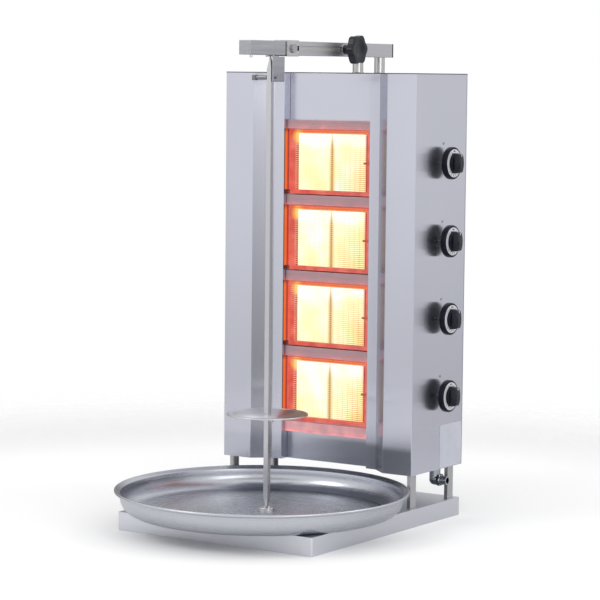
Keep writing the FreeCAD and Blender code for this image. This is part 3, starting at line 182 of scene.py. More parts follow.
def mixed(factor, low, high):
    """A colour between two, each a colour or a socket."""
    ends = [(*end, 1) if isinstance(end, tuple) else end for end in (low, high)]
    return add("Mix", {0: factor, 6: ends[0], 7: ends[1]}, data_type="RGBA").outputs[2]


print("node helpers ready")

# %% Hang the world and the lamps


def make_world():
    """White to the camera, a softly shaded white room to everything else."""
    world = bpy.data.worlds.new("studio")
    tree = shader_tree(world)
    direction = add("TexCoord", tree=tree).outputs["Generated"]
    around = add("TexGradient", {"Vector": direction}, gradient_type="RADIAL").outputs[1]
    up = axes(direction)[2]
    down = span(up, *LOW_WALLS)
    walls = mixed(down, ramp(around, WALL_STOPS), ramp(around, LOW_STOPS))
    room = mixed(span(up, *CEILING), walls, WHITE)
    colour = mixed(ray(direction, "Camera"), room, WHITE)
    background = add("Background", {"Color": colour, "Strength": 1})
    add("OutputWorld", {"Surface": background.outputs[0]})
    return world


def lamp(name, place, target, size, power):
    """A square soft lamp turned to a target."""
    data = bpy.data.lights.new(name, "AREA")
    data.size = size
    data.energy = power
    item = put(name, data)
    item.visible_camera = False
    aim = (target - place).to_track_quat("-Z", "Y").to_matrix()
    item.matrix_world = Matrix.Translation(place) @ aim.to_4x4()


scene.world = make_world()
lamp("key", Vector((-2.2, -3.0, 3.4)), Vector((0, 0, 0.4)), 1.8, 28)
lamp("rim", Vector((2.6, 1.6, 3.0)), Vector((0, 0, 0.6)), 1.4, 14)
lamp("pan streak", Vector((3.3, -1.7, 1.8)), Vector((-0.2, 0.1, 0.1)), 1.8, 18)
scene.view_settings.view_transform = "Standard"

# %% [markdown]
# ## Shared effects
# Three effects turn up on many surfaces. Brushing is noise drawn out very long one way. Handling
# leaves broad cloudy patches that are a little rougher. The four radiants glow, and their light
# reddens whatever stands near them, painted on as a faint emission. Since they repeat up the casing
# at an even pitch, one group can say for any point how deep it lies in a radiant's band. Each is
# built once as a group.

# %% Measure the radiants
PITCH = 178.3 * MM
PLAQUE_TALL = 132 * MM
BAND_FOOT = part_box("plaques")[0].z
HEAT_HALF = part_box("burner_1")[1].x

print("radiants every", round(PITCH, 4), "m from", round(BAND_FOOT, 4))

# %% Helpers for groups


def group(name, inputs, outputs):
    """An empty shader group. Its inputs are numbers or else vectors, its outputs numbers."""
    tree = bpy.data.node_groups.new(name, "ShaderNodeTree")
    for label, value in inputs.items():
        kind = "NodeSocketFloat" if isinstance(value, float) else "NodeSocketVector"
        socket = tree.interface.new_socket(label, in_out="INPUT", socket_type=kind)
        if value is not None:
            socket.default_value = value
    for label in outputs:
        tree.interface.new_socket(label, in_out="OUTPUT", socket_type="NodeSocketFloat")
    return tree, tree.nodes.new("NodeGroupInput").outputs, tree.nodes.new("NodeGroupOutput").inputs


def noise(vector, scale, detail=2.0):
    """Soft noise from 0 to 1."""
    return add("TexNoise", {"Vector": vector, "Scale": scale, "Detail": detail}).outputs[0]


def vector_of(x=0.0, y=0.0, z=0.0):
    """A vector of three values or sockets."""
    return add("CombineXYZ", {0: x, 1: y, 2: z}).outputs[0]


def vector_calc(operation, *values):
    """A Vector Math node's result, which is a number for LENGTH."""
    item = add("VectorMath", dict(enumerate(values)), operation=operation)
    return item.outputs["Value" if operation == "LENGTH" else "Vector"]


print("group helpers ready")

# %% Brushing and heat


def brushing_group():
    """Fine lines drawn out along one axis, and broad handling clouds."""
    tree, given, result = group("brushing", {"Vector": None, "Stretch": (700, 700, 5)}, ("Lines", "Clouds"))
    drawn = vector_calc("MULTIPLY", given["Vector"], given["Stretch"])
    fine = add("TexNoise", {"Vector": drawn, "Scale": 1.0, "Detail": 3.0, "Roughness": 0.65})
    tree.links.new(fine.outputs[0], result["Lines"])
    tree.links.new(noise(given["Vector"], 7.0, 4.0), result["Clouds"])
    return tree


def heat_group():
    """How far a point lies within a radiant's height, from 0 at the rails to 1 beside the plaques."""
    tree, given, result = group("heat_band", {"Vector": None, "Softness": 0.06}, ("Band", "Rise", "Aside"))
    parts = axes(given["Vector"])
    steps = calc("DIVIDE", calc("SUBTRACT", parts[2], BAND_FOOT), PITCH)
    rise = calc("DIVIDE", calc("FRACT", steps), PLAQUE_TALL / PITCH)
    middle = calc("ABSOLUTE", calc("SUBTRACT", rise, 0.5))
    soft = span(middle, calc("ADD", given["Softness"], 0.5), 0.5)
    inside = times(calc("GREATER_THAN", steps, -0.05), calc("LESS_THAN", steps, 3.8))
    tree.links.new(times(soft, inside), result["Band"])
    tree.links.new(rise, result["Rise"])
    tree.links.new(calc("DIVIDE", calc("ABSOLUTE", parts[0]), HEAT_HALF), result["Aside"])
    return tree


BRUSHING, HEAT = brushing_group(), heat_group()
print("groups:", [tree.name for tree in bpy.data.node_groups])

# %% [markdown]
# ## Steel
# The casing, tray, arm and spit are stainless steel brushed along their length. They differ in the
# way of the brushing, in tone and in how dull they are, so one function makes them all. The lines
# move the roughness and the normal a little, which spreads reflections across the brushing as the
# real sheet does. Round pieces are brushed round their axis, so their lines follow the radius.

# %% Helpers for materials
ALONG_X, ALONG_Z = (6, 1300, 1300), (1300, 1300, 6)
LOOKS = {}


def surface(name):
    """The place of the shaded point, in object coordinates, in a new material kept by its name."""
    LOOKS[name] = bpy.data.materials.new(name)
    tree = shader_tree(LOOKS[name])
    return add("TexCoord", tree=tree).outputs["Object"]


def principled(**inputs):
    """The surface shader of a material and its output."""
    named = {name.replace("_", " "): value for name, value in inputs.items()}
    shader = add("BsdfPrincipled", named)
    add("OutputMaterial", {"Surface": shader.outputs[0]})


def bumped(height, strength, distance):
    """A normal that follows a height."""
    inputs = {"Strength": strength, "Distance": distance, "Height": height}
    return add("Bump", inputs).outputs[0]


print("material helpers ready")

# %% [markdown]
# The casing's front mirrors what stands before it: the far side of the pan near its foot, and the
# dim side of the room down the left slant. Neither is modelled, so both are painted as a darker
# tone that depends only on where a point lies on the casing.

# %% Shade the casing's foot
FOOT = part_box("right_shell")[0].z
DARK_EDGE, SHADE_EDGE = (FOOT + 68 * MM, FOOT + 52 * MM), (FOOT + 120 * MM, FOOT + 60 * MM)
SLANT_MIDDLE, SLANT_HALF = -164.3 * MM, 19.5 * MM
FRONT_SIDE, FRONT_BACK = 259.5 * MM, 250 * MM
FOOT_GREY = (0.27, 0.28, 0.31)


def foot_shade(place):
    """How dark a point of the casing's front is: near its foot, where the sheet mirrors the far
    side of the pan, and down the left slant, which mirrors the dim side of the room."""
    parts = axes(place)
    low = span(parts[2], *DARK_EDGE)
    under = span(parts[2], *SHADE_EDGE, 0.0, 0.25)
    right = span(parts[0], -120 * MM, 60 * MM, 0.25, 1.0)
    ahead = times(calc("LESS_THAN", parts[0], FRONT_SIDE),
                  calc("LESS_THAN", parts[1], FRONT_BACK))
    foot = times(calc("MAXIMUM", low, under), times(right, ahead))
    down = span(parts[2], 0.98, 0.30, 0.0, 0.60)
    slant = times(calc("COMPARE", parts[0], SLANT_MIDDLE, SLANT_HALF), down)
    return calc("MAXIMUM", foot, times(slant, ahead))


print("casing's foot at", round(FOOT, 4))

# %% Brush a steel


def steel(name, tone, rough, lay=ALONG_Z, bump=0.05, centre=None, glow=None, spread=0.06, drawn=0.0,
          foot=False):
    """Brushed steel. A centre brushes it round that upright axis, glow adds emission (painted light
    from the radiants, or a probe's own glow), drawn spreads reflections sideways, across upright
    brushing, and foot paints shade on the casing's foot."""
    place = surface(name)
    vector = place
    if centre is not None:
        local = vector_calc("SUBTRACT", place, (*centre.xy, 0))
        flat = vector_calc("MULTIPLY", local, (1, 1, 0))
        vector = vector_of(vector_calc("LENGTH", flat), axes(place)[2])
    brushed = add("Group", {"Vector": vector, "Stretch": lay}, node_tree=BRUSHING)
    lines, broad = brushed.outputs
    if centre is not None:
        broad = noise(place, 7.0, 4.0)
    dark, light = (tuple(part * (1 + shade) for part in tone) for shade in (-spread, spread))
    colour = mixed(lines, dark, light)
    if foot:
        colour = mixed(foot_shade(place), colour, FOOT_GREY)
    roughness = scaled(broad, 0.10, scaled(lines, 0.14, rough - 0.10))
    # Emission: painted light from the radiants on the casing and rails, or the probes' own glow.
    emitted = {"Emission_Strength": 1.0, "Emission_Color": glow(place)} if glow else {}
    principled(Metallic=1.0, Anisotropic=drawn, Base_Color=colour, Roughness=roughness,
               Normal=bumped(lines, bump, 0.0004), **emitted)


print("steel can be brushed along an axis or round one")

# %% [markdown]
# Steel beside a radiant catches its light: the sides of the opening turn orange and the rails dull
# red underneath, with a pale highlight along the rails' tops. That light is painted on. The probes
# glow of themselves, their tips redder than their ends. Each is written as a faint emission that
# follows the heat group.

# %% Paint the radiants' light and the probes' glow onto steel


def heat(place, softness):
    """The heat group placed in a material: its band, rise and distance aside."""
    item = add("Group", {"Vector": place, "Softness": softness}, node_tree=HEAT)
    return item.outputs["Band"], item.outputs["Rise"], item.outputs["Aside"]


RETURN_FRONT, RETURN_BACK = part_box("left_shell")[0].y + 42 * MM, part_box("burner_1")[0].y


def return_glow(place):
    """Painted light: orange from the radiants, caught by the sides of the heat opening beside each one."""
    band, _, aside = heat(place, 0.12)
    parts = axes(place)
    near = calc("LESS_THAN", aside, 1.012)
    depth = span(parts[1], RETURN_FRONT - 6 * MM, RETURN_BACK)
    lit = ramp(depth, (
        (0.0, BLACK), (0.12, (0.75, 0.13, 0.01)), (0.50, (0.80, 0.09, 0.005)),
        (0.64, (0.20, 0.012, 0.008)), (0.80, (0.30, 0.02, 0.012)), (1.0, (0.85, 0.10, 0.03))))
    return mixed(times(band, near), BLACK, lit)


def rail_glow(place):
    """Painted light on the rails: dull red along their lower edges, where the next radiant starts,
    a pinkish-white highlight along their tops towards the left, and pink on the bottom rail.
    """
    _, rise, _ = heat(place, 0.1)
    across = axes(place)[0]
    # Painted light: dull red from the radiant below, along the rails' lower edges.
    low = span(rise, 1.19, 1.02)
    high = span(rise, 1.26, 1.31)
    mottle = noise(place, 34.0, 4.0)
    patchy = calc("ADD", low, scaled(mottle, 0.9, -0.42))
    red = ramp(patchy, ((0.0, (0.02, 0.006, 0.008)), (0.45, (0.14, 0.018, 0.020)),
                              (1.0, (0.62, 0.07, 0.05))))
    # Painted highlight: pinkish-white along the rails' top edge, strongest to the left.
    left = span(across, 0.4 * HEAT_HALF, -HEAT_HALF, 0.06, 0.22)
    edge = mixed(times(high, left), BLACK, (1.0, 0.86, 0.86))
    # Painted light: a mottled pink glow on the bottom rail, below the lowest radiant.
    height = axes(place)[2]
    bottom_rail_light = times(calc("LESS_THAN", height, BAND_FOOT), scaled(mottle, 0.8, 0.1))
    edge = mixed(bottom_rail_light, edge, (0.55, 0.22, 0.21))
    both = add("Mix", {0: 1.0, 6: red, 7: edge}, data_type="RGBA", blend_type="ADD")
    return both.outputs[2]


def probe_glow(place):
    """A thermocouple glows dull red from end to end, redder at its tip."""
    _, _, aside = heat(place, 0.1)
    return ramp(aside, ((0.78, (0.30, 0.07, 0.02)), (0.95, (0.36, 0.05, 0.04))))


print("heat colours ready for the opening, the rails and the probes")

# %% Mix the steels
COOL, WARM = (0.605, 0.615, 0.695), (0.44, 0.30, 0.32)
pan_low, pan_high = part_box("drip_pan")
pan_centre = (pan_low + pan_high) / 2
disc_low, disc_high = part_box("meat_disc")
disc_centre = (disc_low + disc_high) / 2
steel("casing_steel", COOL, 0.20, bump=0.035, spread=0.03, drawn=0.8, foot=True)
steel("shell_steel", COOL, 0.20, bump=0.035, glow=return_glow, spread=0.03, drawn=0.8, foot=True)
steel("tray_steel", (0.70, 0.71, 0.76), 0.40, ALONG_X)
steel("dull_steel", (0.50, 0.50, 0.51), 0.42, ALONG_Z, 0.1)
steel("rail_steel", WARM, 0.40, (12, 500, 500), glow=rail_glow, spread=0.25)
steel("arm_steel", (0.53, 0.53, 0.56), 0.46, (260, 5, 260), spread=0.12)
steel("collar_steel", (0.56, 0.56, 0.57), 0.32, (170, 170, 170), 0.6, spread=0.55)
steel("pin_steel", (0.22, 0.22, 0.24), 0.22, ALONG_X)
steel("head_steel", (0.42, 0.42, 0.46), 0.30, (240, 5, 240), 0.20, spread=0.30)
steel("inner_steel", (0.56, 0.56, 0.55), 0.55, (300, 5, 300), spread=0.2)
steel("post_steel", (0.50, 0.50, 0.495), 0.16, (420, 420, 160), 0.25, spread=0.12)
steel("bright_steel", (0.62, 0.62, 0.63), 0.16, ALONG_Z, 0.02)
steel("spit_steel", (0.60, 0.60, 0.62), 0.28, ALONG_Z)
steel("fitting_steel", (0.40, 0.43, 0.46), 0.16, (90, 90, 90), 0.15, spread=0.2)
steel("disc_steel", (0.60, 0.60, 0.61), 0.30, (700, 60, 1), centre=disc_centre)
steel("pan_steel", (0.54, 0.555, 0.60), 0.25, (150, 30, 1), 0.004, centre=pan_centre, spread=0.03)
steel("probe_steel", (0.16, 0.09, 0.07), 0.5, ALONG_X, glow=probe_glow)
print(len(LOOKS), "steels")

# %% [markdown]
# ## Glowing parts
# Each radiant holds two ceramic plaques full of small holes. Lit, they are so bright that they read
# as pale yellow, whiter at the top and more orange towards the lower right, with the steel bar
# between them browned and the frame round them red. The glow is written as emission that changes
# over the surface, and a hole pattern darkens it a little.

# %% Helper for glowing materials
HOLE_PITCH = 2.6 * MM


def glowing(name, paint, base, rough):
    """A surface that glows with the colours that paint works out, and only a tenth as bright in
    reflections, so the steel round it mirrors less of that glow."""
    place = surface(name)
    colour, tone = paint(place, base)
    mirrored = times(ray(place, "Glossy"), 0.90)
    principled(Roughness=rough, Emission_Strength=1.0, Specular_IOR_Level=0.1, Base_Color=tone,
               Emission_Color=mixed(mirrored, colour, BLACK))


print("glow is dimmed to a tenth in reflections")

# %% Paint the plaques


def plaque_paint(place, base):
    """Pale yellow, whiter high up, mottled orange low on the right, with a grid of small holes."""
    _, rise, _ = heat(place, 0.02)
    parts = axes(place)
    side = calc("DIVIDE", parts[0], HEAT_HALF)
    mottle = noise(place, 15.0, 3.0)
    right = calc("MAXIMUM", side, 0.0)
    low = calc("SUBTRACT", 1.0, rise)
    corner = times(times(right, right), scaled(low, 0.55, 0.25))
    warm = calc("ADD", corner, scaled(mottle, 1.5, -0.52))
    top = span(rise, 0.74, 0.90, 0.0, 0.5)
    warm = calc("SUBTRACT", calc("ADD", warm, times(low, 0.10)), top)
    holes = add("TexVoronoi", {"Vector": place, "Scale": 1 / HOLE_PITCH, "Randomness": 0.0})
    pit = span(holes.outputs["Distance"], 0.30, 0.22, 0.0, 0.08)
    colour = ramp(calc("ADD", warm, pit), (
        (0.0, (1.0, 1.0, 0.93)), (0.26, (1.0, 0.98, 0.66)), (0.62, (1.0, 0.87, 0.40)),
        (1.0, (0.96, 0.66, 0.20))))
    reach = span(calc("ABSOLUTE", side), 0.085, 0.02)
    fade = span(rise, 0.95, 0.70)
    colour = mixed(times(reach, fade), colour, (0.56, 0.36, 0.09))
    return colour, mixed(mottle, base, (0.30, 0.24, 0.17))


print("plaque paint ready")

# %% Paint the frames and the wires


def frame_paint(place, base):
    """Red round the plaques, brighter above them, browner on the bar between."""
    _, rise, aside = heat(place, 0.1)
    mottle = noise(place, 30.0, 4.0)
    parts = axes(place)
    right = span(parts[0], -0.6 * HEAT_HALF, 1.0 * HEAT_HALF)
    sides = mixed(right, (0.62, 0.045, 0.030), (0.50, 0.13, 0.13))
    patchy = mixed(scaled(mottle, 2.6, -0.8, clamp=True), sides, (0.84, 0.20, 0.15))
    near = span(aside, 0.87, 0.80)
    fringe = span(rise, 1.07, 1.01)
    over = times(calc("GREATER_THAN", rise, 0.99), calc("LESS_THAN", rise, 1.15))
    above = mixed(fringe, (0.82, 0.15, 0.09), (0.84, 0.24, 0.05))
    emitted = mixed(times(over, near), patchy, above)
    seam = calc("COMPARE", aside, 0.815, 0.018)
    emitted = mixed(times(seam, calc("LESS_THAN", rise, 0.98)), emitted, (0.42, 0.03, 0.02))
    spill = vector_of(scaled(parts[0], 1 / HEAT_HALF, 0.80),
                      0.0, scaled(rise, 1.1, -1.03))
    emitted = mixed(span(vector_calc("LENGTH", spill), 0.17, 0.07), emitted, (1.0, 0.56, 0.08))
    beside = times(calc("LESS_THAN", aside, 0.04), calc("LESS_THAN", rise, 1.0))
    fade = span(rise, 1.0, 0.80)
    stripe = mixed(fade, (1.0, 0.95, 0.62), (0.44, 0.24, 0.06))
    return mixed(beside, emitted, stripe), mixed(mottle, base, (0.14, 0.03, 0.02))


def wire_paint(place, base):
    """Wires stand dark red before the frame and amber before the plaques."""
    band, rise, aside = heat(place, 0.03)
    before = span(aside, 0.84, 0.78)
    mottle = noise(place, 60.0)
    parts = axes(place)
    right = span(parts[0], 0.0, HEAT_HALF)
    corner = calc("MULTIPLY", right, scaled(rise, -1.5, 1.6), clamp=True)
    amber = mixed(rise, (0.88, 0.70, 0.34), (1.0, 0.95, 0.70))
    amber = mixed(corner, amber, (0.36, 0.15, 0.02))
    red = mixed(mottle, (0.26, 0.02, 0.02), (0.80, 0.20, 0.16))
    glow = mixed(times(before, band), red, amber)
    return glow, mixed(mottle, base, (0.10, 0.03, 0.02))


glowing("glowing_ceramic", plaque_paint, (0.20, 0.15, 0.10), 0.8)
glowing("burner_frame", frame_paint, (0.08, 0.02, 0.015), 0.6)
glowing("hot_mesh", wire_paint, (0.08, 0.03, 0.02), 0.6)
print("glowing:", list(LOOKS)[-3:])

# %% [markdown]
# ## Plastics, brass and plates
# The knobs are black moulded plastic with a fine spark texture that breaks up the highlights. The
# dials are satin aluminium. Brass and copper sit inside, out of sight but finished all the same.

# %% Make the other materials


def cast(name, tone, rough, grain, metallic=0.0, bump=0.15, coat=0.0, shine=0.5):
    """A surface with a fine even grain, for moulded plastic, castings and plates."""
    place = surface(name)
    broad = noise(place, 25.0, 3.0)
    low, high = (tuple(part * shade for part in tone) for shade in (0.82, 1.15))
    principled(Metallic=metallic, Coat_Weight=coat, Specular_IOR_Level=shine,
               Base_Color=mixed(broad, low, high),
               Roughness=scaled(broad, 0.16, rough - 0.08),
               Normal=bumped(noise(place, grain), bump, 0.0002))


cast("black_plastic", (0.007, 0.008, 0.016), 0.27, 1800, bump=0.06, shine=0.34)
cast("skirt_black", (0.004, 0.005, 0.012), 0.30, 1800, bump=0.06, shine=0.16)
cast("dial_silver", (0.74, 0.75, 0.80), 0.36, 900, metallic=0.35, bump=0.04)
cast("brass", (0.62, 0.44, 0.16), 0.32, 700, metallic=1.0)
cast("copper_pipe", (0.66, 0.33, 0.20), 0.30, 500, metallic=1.0, bump=0.05)
cast("tube_iron", (0.20, 0.20, 0.21), 0.60, 600, metallic=0.6, bump=0.5)
cast("dial_ink", (0.02, 0.02, 0.02), 0.55, 900, bump=0.03)
cast("pointer_white", (0.80, 0.80, 0.78), 0.45, 900, bump=0.03)
cast("plate_white", (0.52, 0.54, 0.61), 0.40, 500, bump=0.03, coat=0.2)
# Near black: painted shade for the dark line along the top cover's cut edges, where the gap under it lies
# in shadow.
cast("cover_edge_painted_shade", (0.02, 0.02, 0.025), 0.45, 400, metallic=0.2, bump=0.1)
cast("weld", (0.42, 0.41, 0.42), 0.35, 260, metallic=1.0, bump=0.6)
print(len(LOOKS), "materials")

# %% [markdown]
# ## Folded sheet and ground bar
# A sheet folded in a press has a small radius at each bend and a blunt cut edge, and light runs
# along both. The frame's solids are sharp, so each is copied, its triangles are joined back into
# flat faces, and its edges are rounded: wide where two broad faces meet outwards, and hardly at
# all on cut edges. Weighted normals then keep the broad faces flat.

# %% Choose finishes
SHARP = math.radians(25)
TIGHT, CUT_EDGE, FOLD_STEPS = 0.34, 0.4 * MM, 2
SAME_SPOT, SAME_PLANE = 0.002 * MM, math.radians(0.4)
LOOK_OF_NODE = {"left_shell": "shell_steel", "right_shell": "shell_steel", "base_tray": "tray_steel",
                "meat_disc": "disc_steel", "arm_head": "head_steel", "hanger": "head_steel",
                "arm": "inner_steel", "arm_stand": "post_steel", "sleeve_collar": "collar_steel",
                "lock_pin": "pin_steel", "index_rivets": "head_steel", "collar_bolt": "head_steel",
                "inlet_elbow": "fitting_steel", "sleeve_cap": "black_plastic"}
print(len(LOOK_OF_NODE), "parts have a finish of their own")

# %% Publish a piece


def look_of(node):
    """The name of a node's material: its slot's, or a closer one."""
    return LOOK_OF_NODE.get(node, slot_of[node])


def publish(mesh, name, body, look=None, node=None):
    """An object of that mesh that rides on a body, has a slot, and may stand for a node."""
    if look:
        mesh.materials.clear()
        mesh.materials.append(LOOKS[look])
    piece = put(name, mesh)
    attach(piece, body)
    if node:
        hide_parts(node)
    return piece


print("pieces can be published")

# %% Helpers for shapes


def smooth(mesh, angle=30):
    """Smooth shading, sharp only where faces turn by more than the angle."""
    mesh.shade_smooth()
    mesh.set_sharp_from_angle(angle=math.radians(angle))


def narrow(face):
    """A face's width, as its area over its longest side."""
    return face.calc_area() / max(edge.calc_length() for edge in face.edges)


def soften(body, bend):
    """Round the folds by the bend's radius and every other edge by a share of its thin face."""
    def corners():
        return [edge for edge in body.edges
                if len(edge.link_faces) == 2 and edge.calc_face_angle() > SHARP]

    folds = [edge for edge in corners() if min(map(narrow, edge.link_faces)) > 2.4 * bend
             and edge.calc_length() > 3 * bend]
    outer = [edge for edge in folds if edge.is_convex]
    bmesh.ops.bevel(body, geom=outer, offset=bend, segments=FOLD_STEPS, profile=0.5,
                    affect="EDGES", clamp_overlap=True)
    thin = corners()
    if thin:
        least = min(min(map(narrow, edge.link_faces)) for edge in thin)
        bmesh.ops.bevel(body, geom=thin, offset=min(TIGHT * least, CUT_EDGE), segments=1, profile=0.5,
                        affect="EDGES", clamp_overlap=True)


def settle(body, name):
    """The finished mesh of a shape in the making."""
    mesh = bpy.data.meshes.new(name)
    body.to_mesh(mesh)
    body.free()
    return mesh


def block(size, centre=(0, 0, 0)):
    """A block of that size round its centre, still in the making."""
    body = bmesh.new()
    bmesh.ops.create_cube(body, size=1)
    for vertex in body.verts:
        vertex.co = [spot + share * side for spot, share, side in zip(centre, vertex.co, size)]
    return body


def dress(node, bend):
    """A softened copy of a node, shown in its place."""
    body = bmesh.new()
    body.from_mesh(frame["nodes"][node].data)
    bmesh.ops.remove_doubles(body, verts=body.verts, dist=SAME_SPOT)
    bmesh.ops.dissolve_limit(body, angle_limit=SAME_PLANE, verts=body.verts, edges=body.edges)
    soften(body, bend)
    mesh = settle(body, node + "_softened")
    smooth(mesh)
    piece = publish(mesh, node + "_softened", body_of[node], look_of(node), node)
    piece.modifiers.new("flat_faces", "WEIGHTED_NORMAL").keep_sharp = True
    return piece


print("edges can be rounded by", FOLD_STEPS, "steps")

# %% Soften every sheet and bar
BENDS = {
    "left_shell": 2.2, "right_shell": 2.2, "base_tray": 1.6, "back_panel": 0.5, "top_cover": 0.6,
    "casing_floor": 0.5, "upper_front": 0.4, "lower_front": 0.4, "legs": 1.2, "heat_rails": 1.2,
    "burner_1": 0.5, "burner_2": 0.5, "burner_3": 0.5, "burner_4": 0.5, "plaques": 0.8,
    "guide_sleeve": 1.6, "sleeve_collar": 1.2, "arm": 1.4, "arm_head": 1.6, "arm_stand": 0.8,
    "hanger": 1.0, "spit": 0.9, "disc_pin": 0.5, "lock_pin": 0.9, "collar_bolt": 1.6,
    "clamp_washer": 0.6, "clamp_screw": 0.5, "clamp_nut": 0.8, "sleeve_cap": 0.5, "thermocouples": 0.4,
    "head_bush": 0.4,
}
for node, bend in BENDS.items():
    piece = dress(node, bend * MM)
    # The cover's cut edges take a near-black material, painted shade for the dark line along the casing's
    # top.
    if node == "top_cover":
        piece.data.materials.append(LOOKS["cover_edge_painted_shade"])
        for face in piece.data.polygons:
            face.material_index = int(abs(face.normal.z) < 0.9)
print("softened", len(BENDS), "parts")

# %% [markdown]
# ## Turned parts
# The pan is spun from a disc of sheet, and knobs, dials and the meat disc are round too. Each is a
# profile of radius and height turned round its axis. The profile's corners are short arcs, so the
# rim and the bend catch the light as a continuous streak.

# %% Helpers for turned parts


def arc(centre, radius, start, end, steps=6):
    """Points on an arc in a profile, angles in degrees."""
    angles = (math.radians(start + (end - start) * step / steps) for step in range(steps + 1))
    return [(centre[0] + radius * math.cos(angle), centre[1] + radius * math.sin(angle))
            for angle in angles]


def lathe(profile, axis, origin, steps=96):
    """A closed mesh of (radius, height) points turned round an axis through the origin point."""
    body = bmesh.new()
    basis = axis.to_track_quat("Z", "Y").to_matrix()
    turns = [2 * math.pi * step / steps for step in range(steps)]
    rings = []
    for radius, height in profile:
        around = turns if radius > 1e-7 else [0.0]
        spots = [Vector((radius * math.cos(turn), radius * math.sin(turn), height)) for turn in around]
        rings.append([body.verts.new(basis @ spot + origin) for spot in spots])
    for first, second in zip(rings, rings[1:] + rings[:1]):
        for step in range(steps):
            after = (step + 1) % steps
            spots = [first[step % len(first)], first[after % len(first)],
                     second[after % len(second)], second[step % len(second)]]
            spots = list(dict.fromkeys(spots))
            if len(spots) > 2:
                body.faces.new(spots)
    bmesh.ops.recalc_face_normals(body, faces=body.faces)
    mesh = settle(body, "turned")
    smooth(mesh, 40)
    return mesh


print("profiles can be turned")

# %% Spin the pan and turn its cup
UP, OUT = Vector((0, 0, 1)), Vector((1, 0, 0))
PAN_R, WALL_R, BEND_R, SHEET = pan_high.x, 320 * MM, 36 * MM, 1.6 * MM
RIM_R = 3.2 * MM
pan_tall = pan_high.z - pan_low.z


def pan_profile():
    """Outside from the floor up and round the rolled rim, then back down inside."""
    neck = pan_tall - 9 * MM
    outside = [(0, 0)] + arc((WALL_R - BEND_R, BEND_R), BEND_R, -90, 0, 14)
    outside += [(WALL_R + 0.2 * MM, neck - 4 * MM), (WALL_R + 1.2 * MM, neck)]
    rim = arc((PAN_R - RIM_R, pan_tall - RIM_R), RIM_R, -60, 150, 12)
    inside = [(WALL_R + 1.2 * MM - SHEET, neck + SHEET), (WALL_R - SHEET, neck - 4 * MM)]
    inside += arc((WALL_R - BEND_R, BEND_R), BEND_R - SHEET, 0, -90, 14) + [(0, SHEET)]
    return outside + rim + inside


def pan():
    """The drip pan, spun in one piece."""
    mesh = lathe(pan_profile(), UP, Vector((pan_centre.x, pan_centre.y, pan_low.z)), 192)
    publish(mesh, "spun_drip_pan", "pan", "pan_steel", "drip_pan")


def cup():
    """The little bearing cup, with the weld that holds it round its foot."""
    low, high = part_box("spit_cup")
    outer, tall = (high.x - low.x) / 2, high.z - low.z
    bore, floor = 8.5 * MM, 2 * MM
    profile = [(0, 0), (outer - 0.4 * MM, 0)] + arc((outer - 1.6 * MM, tall - 1.6 * MM), 1.6 * MM, 0, 90)
    profile += arc((bore + 0.8 * MM, tall - 0.8 * MM), 0.8 * MM, 90, 180)
    profile += [(bore - floor, floor), (0, floor)]
    origin = Vector((0, (low.y + high.y) / 2, low.z))
    publish(lathe(profile, UP, origin, 64), "turned_cup", "pan", "bright_steel", "spit_cup")
    weld_ring("cup_weld", origin, outer, 1.3 * MM, "pan")


def weld_ring(name, origin, radius, bead, body):
    """A rippled weld bead round a post or a cup."""
    profile = [(radius - bead, 0)] + arc((radius, 0), bead, 0, 90, 4) + [(radius - bead, bead)]
    mesh = lathe(profile, UP, origin, 72)
    for vertex in mesh.vertices:
        way = vertex.co - origin
        ripple = 1 + 0.012 * math.sin(24 * math.atan2(way.y, way.x))
        vertex.co = origin + Vector((way.x * ripple, way.y * ripple, way.z))
    publish(mesh, name, body, "weld")


print("pan", round(PAN_R, 4), "m in radius")

# %% Press the disc, then set all three


def disc():
    """The meat disc: thin sheet with a small lip, a pressed ring and a square-holed hub."""
    radius, thick, rim, hub_r, hub = disc_high.x, 2 * MM, 3 * MM, 13 * MM, disc_high.z - disc_low.z
    hole, fillet = 6.3 * MM, 2 * MM
    profile = [(hub_r, -hub), (hub_r, -thick - fillet)]
    profile += arc((hub_r + fillet, -thick - fillet), fillet, 180, 90, 4)
    profile += [(radius - thick - 1 * MM, -thick), (radius - thick, -rim), (radius, -rim)]
    profile += arc((radius - 1.4 * MM, -1.4 * MM), 1.4 * MM, 0, 90)
    profile += [(radius - 11 * MM, 0), (radius - 12 * MM, -0.6 * MM), (radius - 13.5 * MM, -0.6 * MM)]
    profile += [(radius - 14.5 * MM, 0), (hole * 1.45, 0), (hole * 1.45, -hub)]
    centre = Vector((0, disc_centre.y, disc_high.z))
    mesh = lathe(profile, UP, centre, 128)
    for vertex in mesh.vertices:
        way = vertex.co - centre
        if math.hypot(way.x, way.y) < hole * 1.5:
            reach = hole / max(abs(way.x), abs(way.y))
            vertex.co = centre + Vector((way.x * reach, way.y * reach, way.z))
    publish(mesh, "pressed_meat_disc", "sliding_disc", "disc_steel", "meat_disc")


pan()
cup()
disc()
print("turned the pan, its cup and the disc")

# %% [markdown]
# ## Knobs
# A knob is a black skirt with a rounded edge, a dished face that holds the silver dial, and a thumb
# grip with a white pointer line, which stands on a low round boss. The grip is a block whose sides
# draw in towards the end, rounded by a bevel. The four are the same, so one function makes each at
# its tap's height.

# %% Turn the knobs


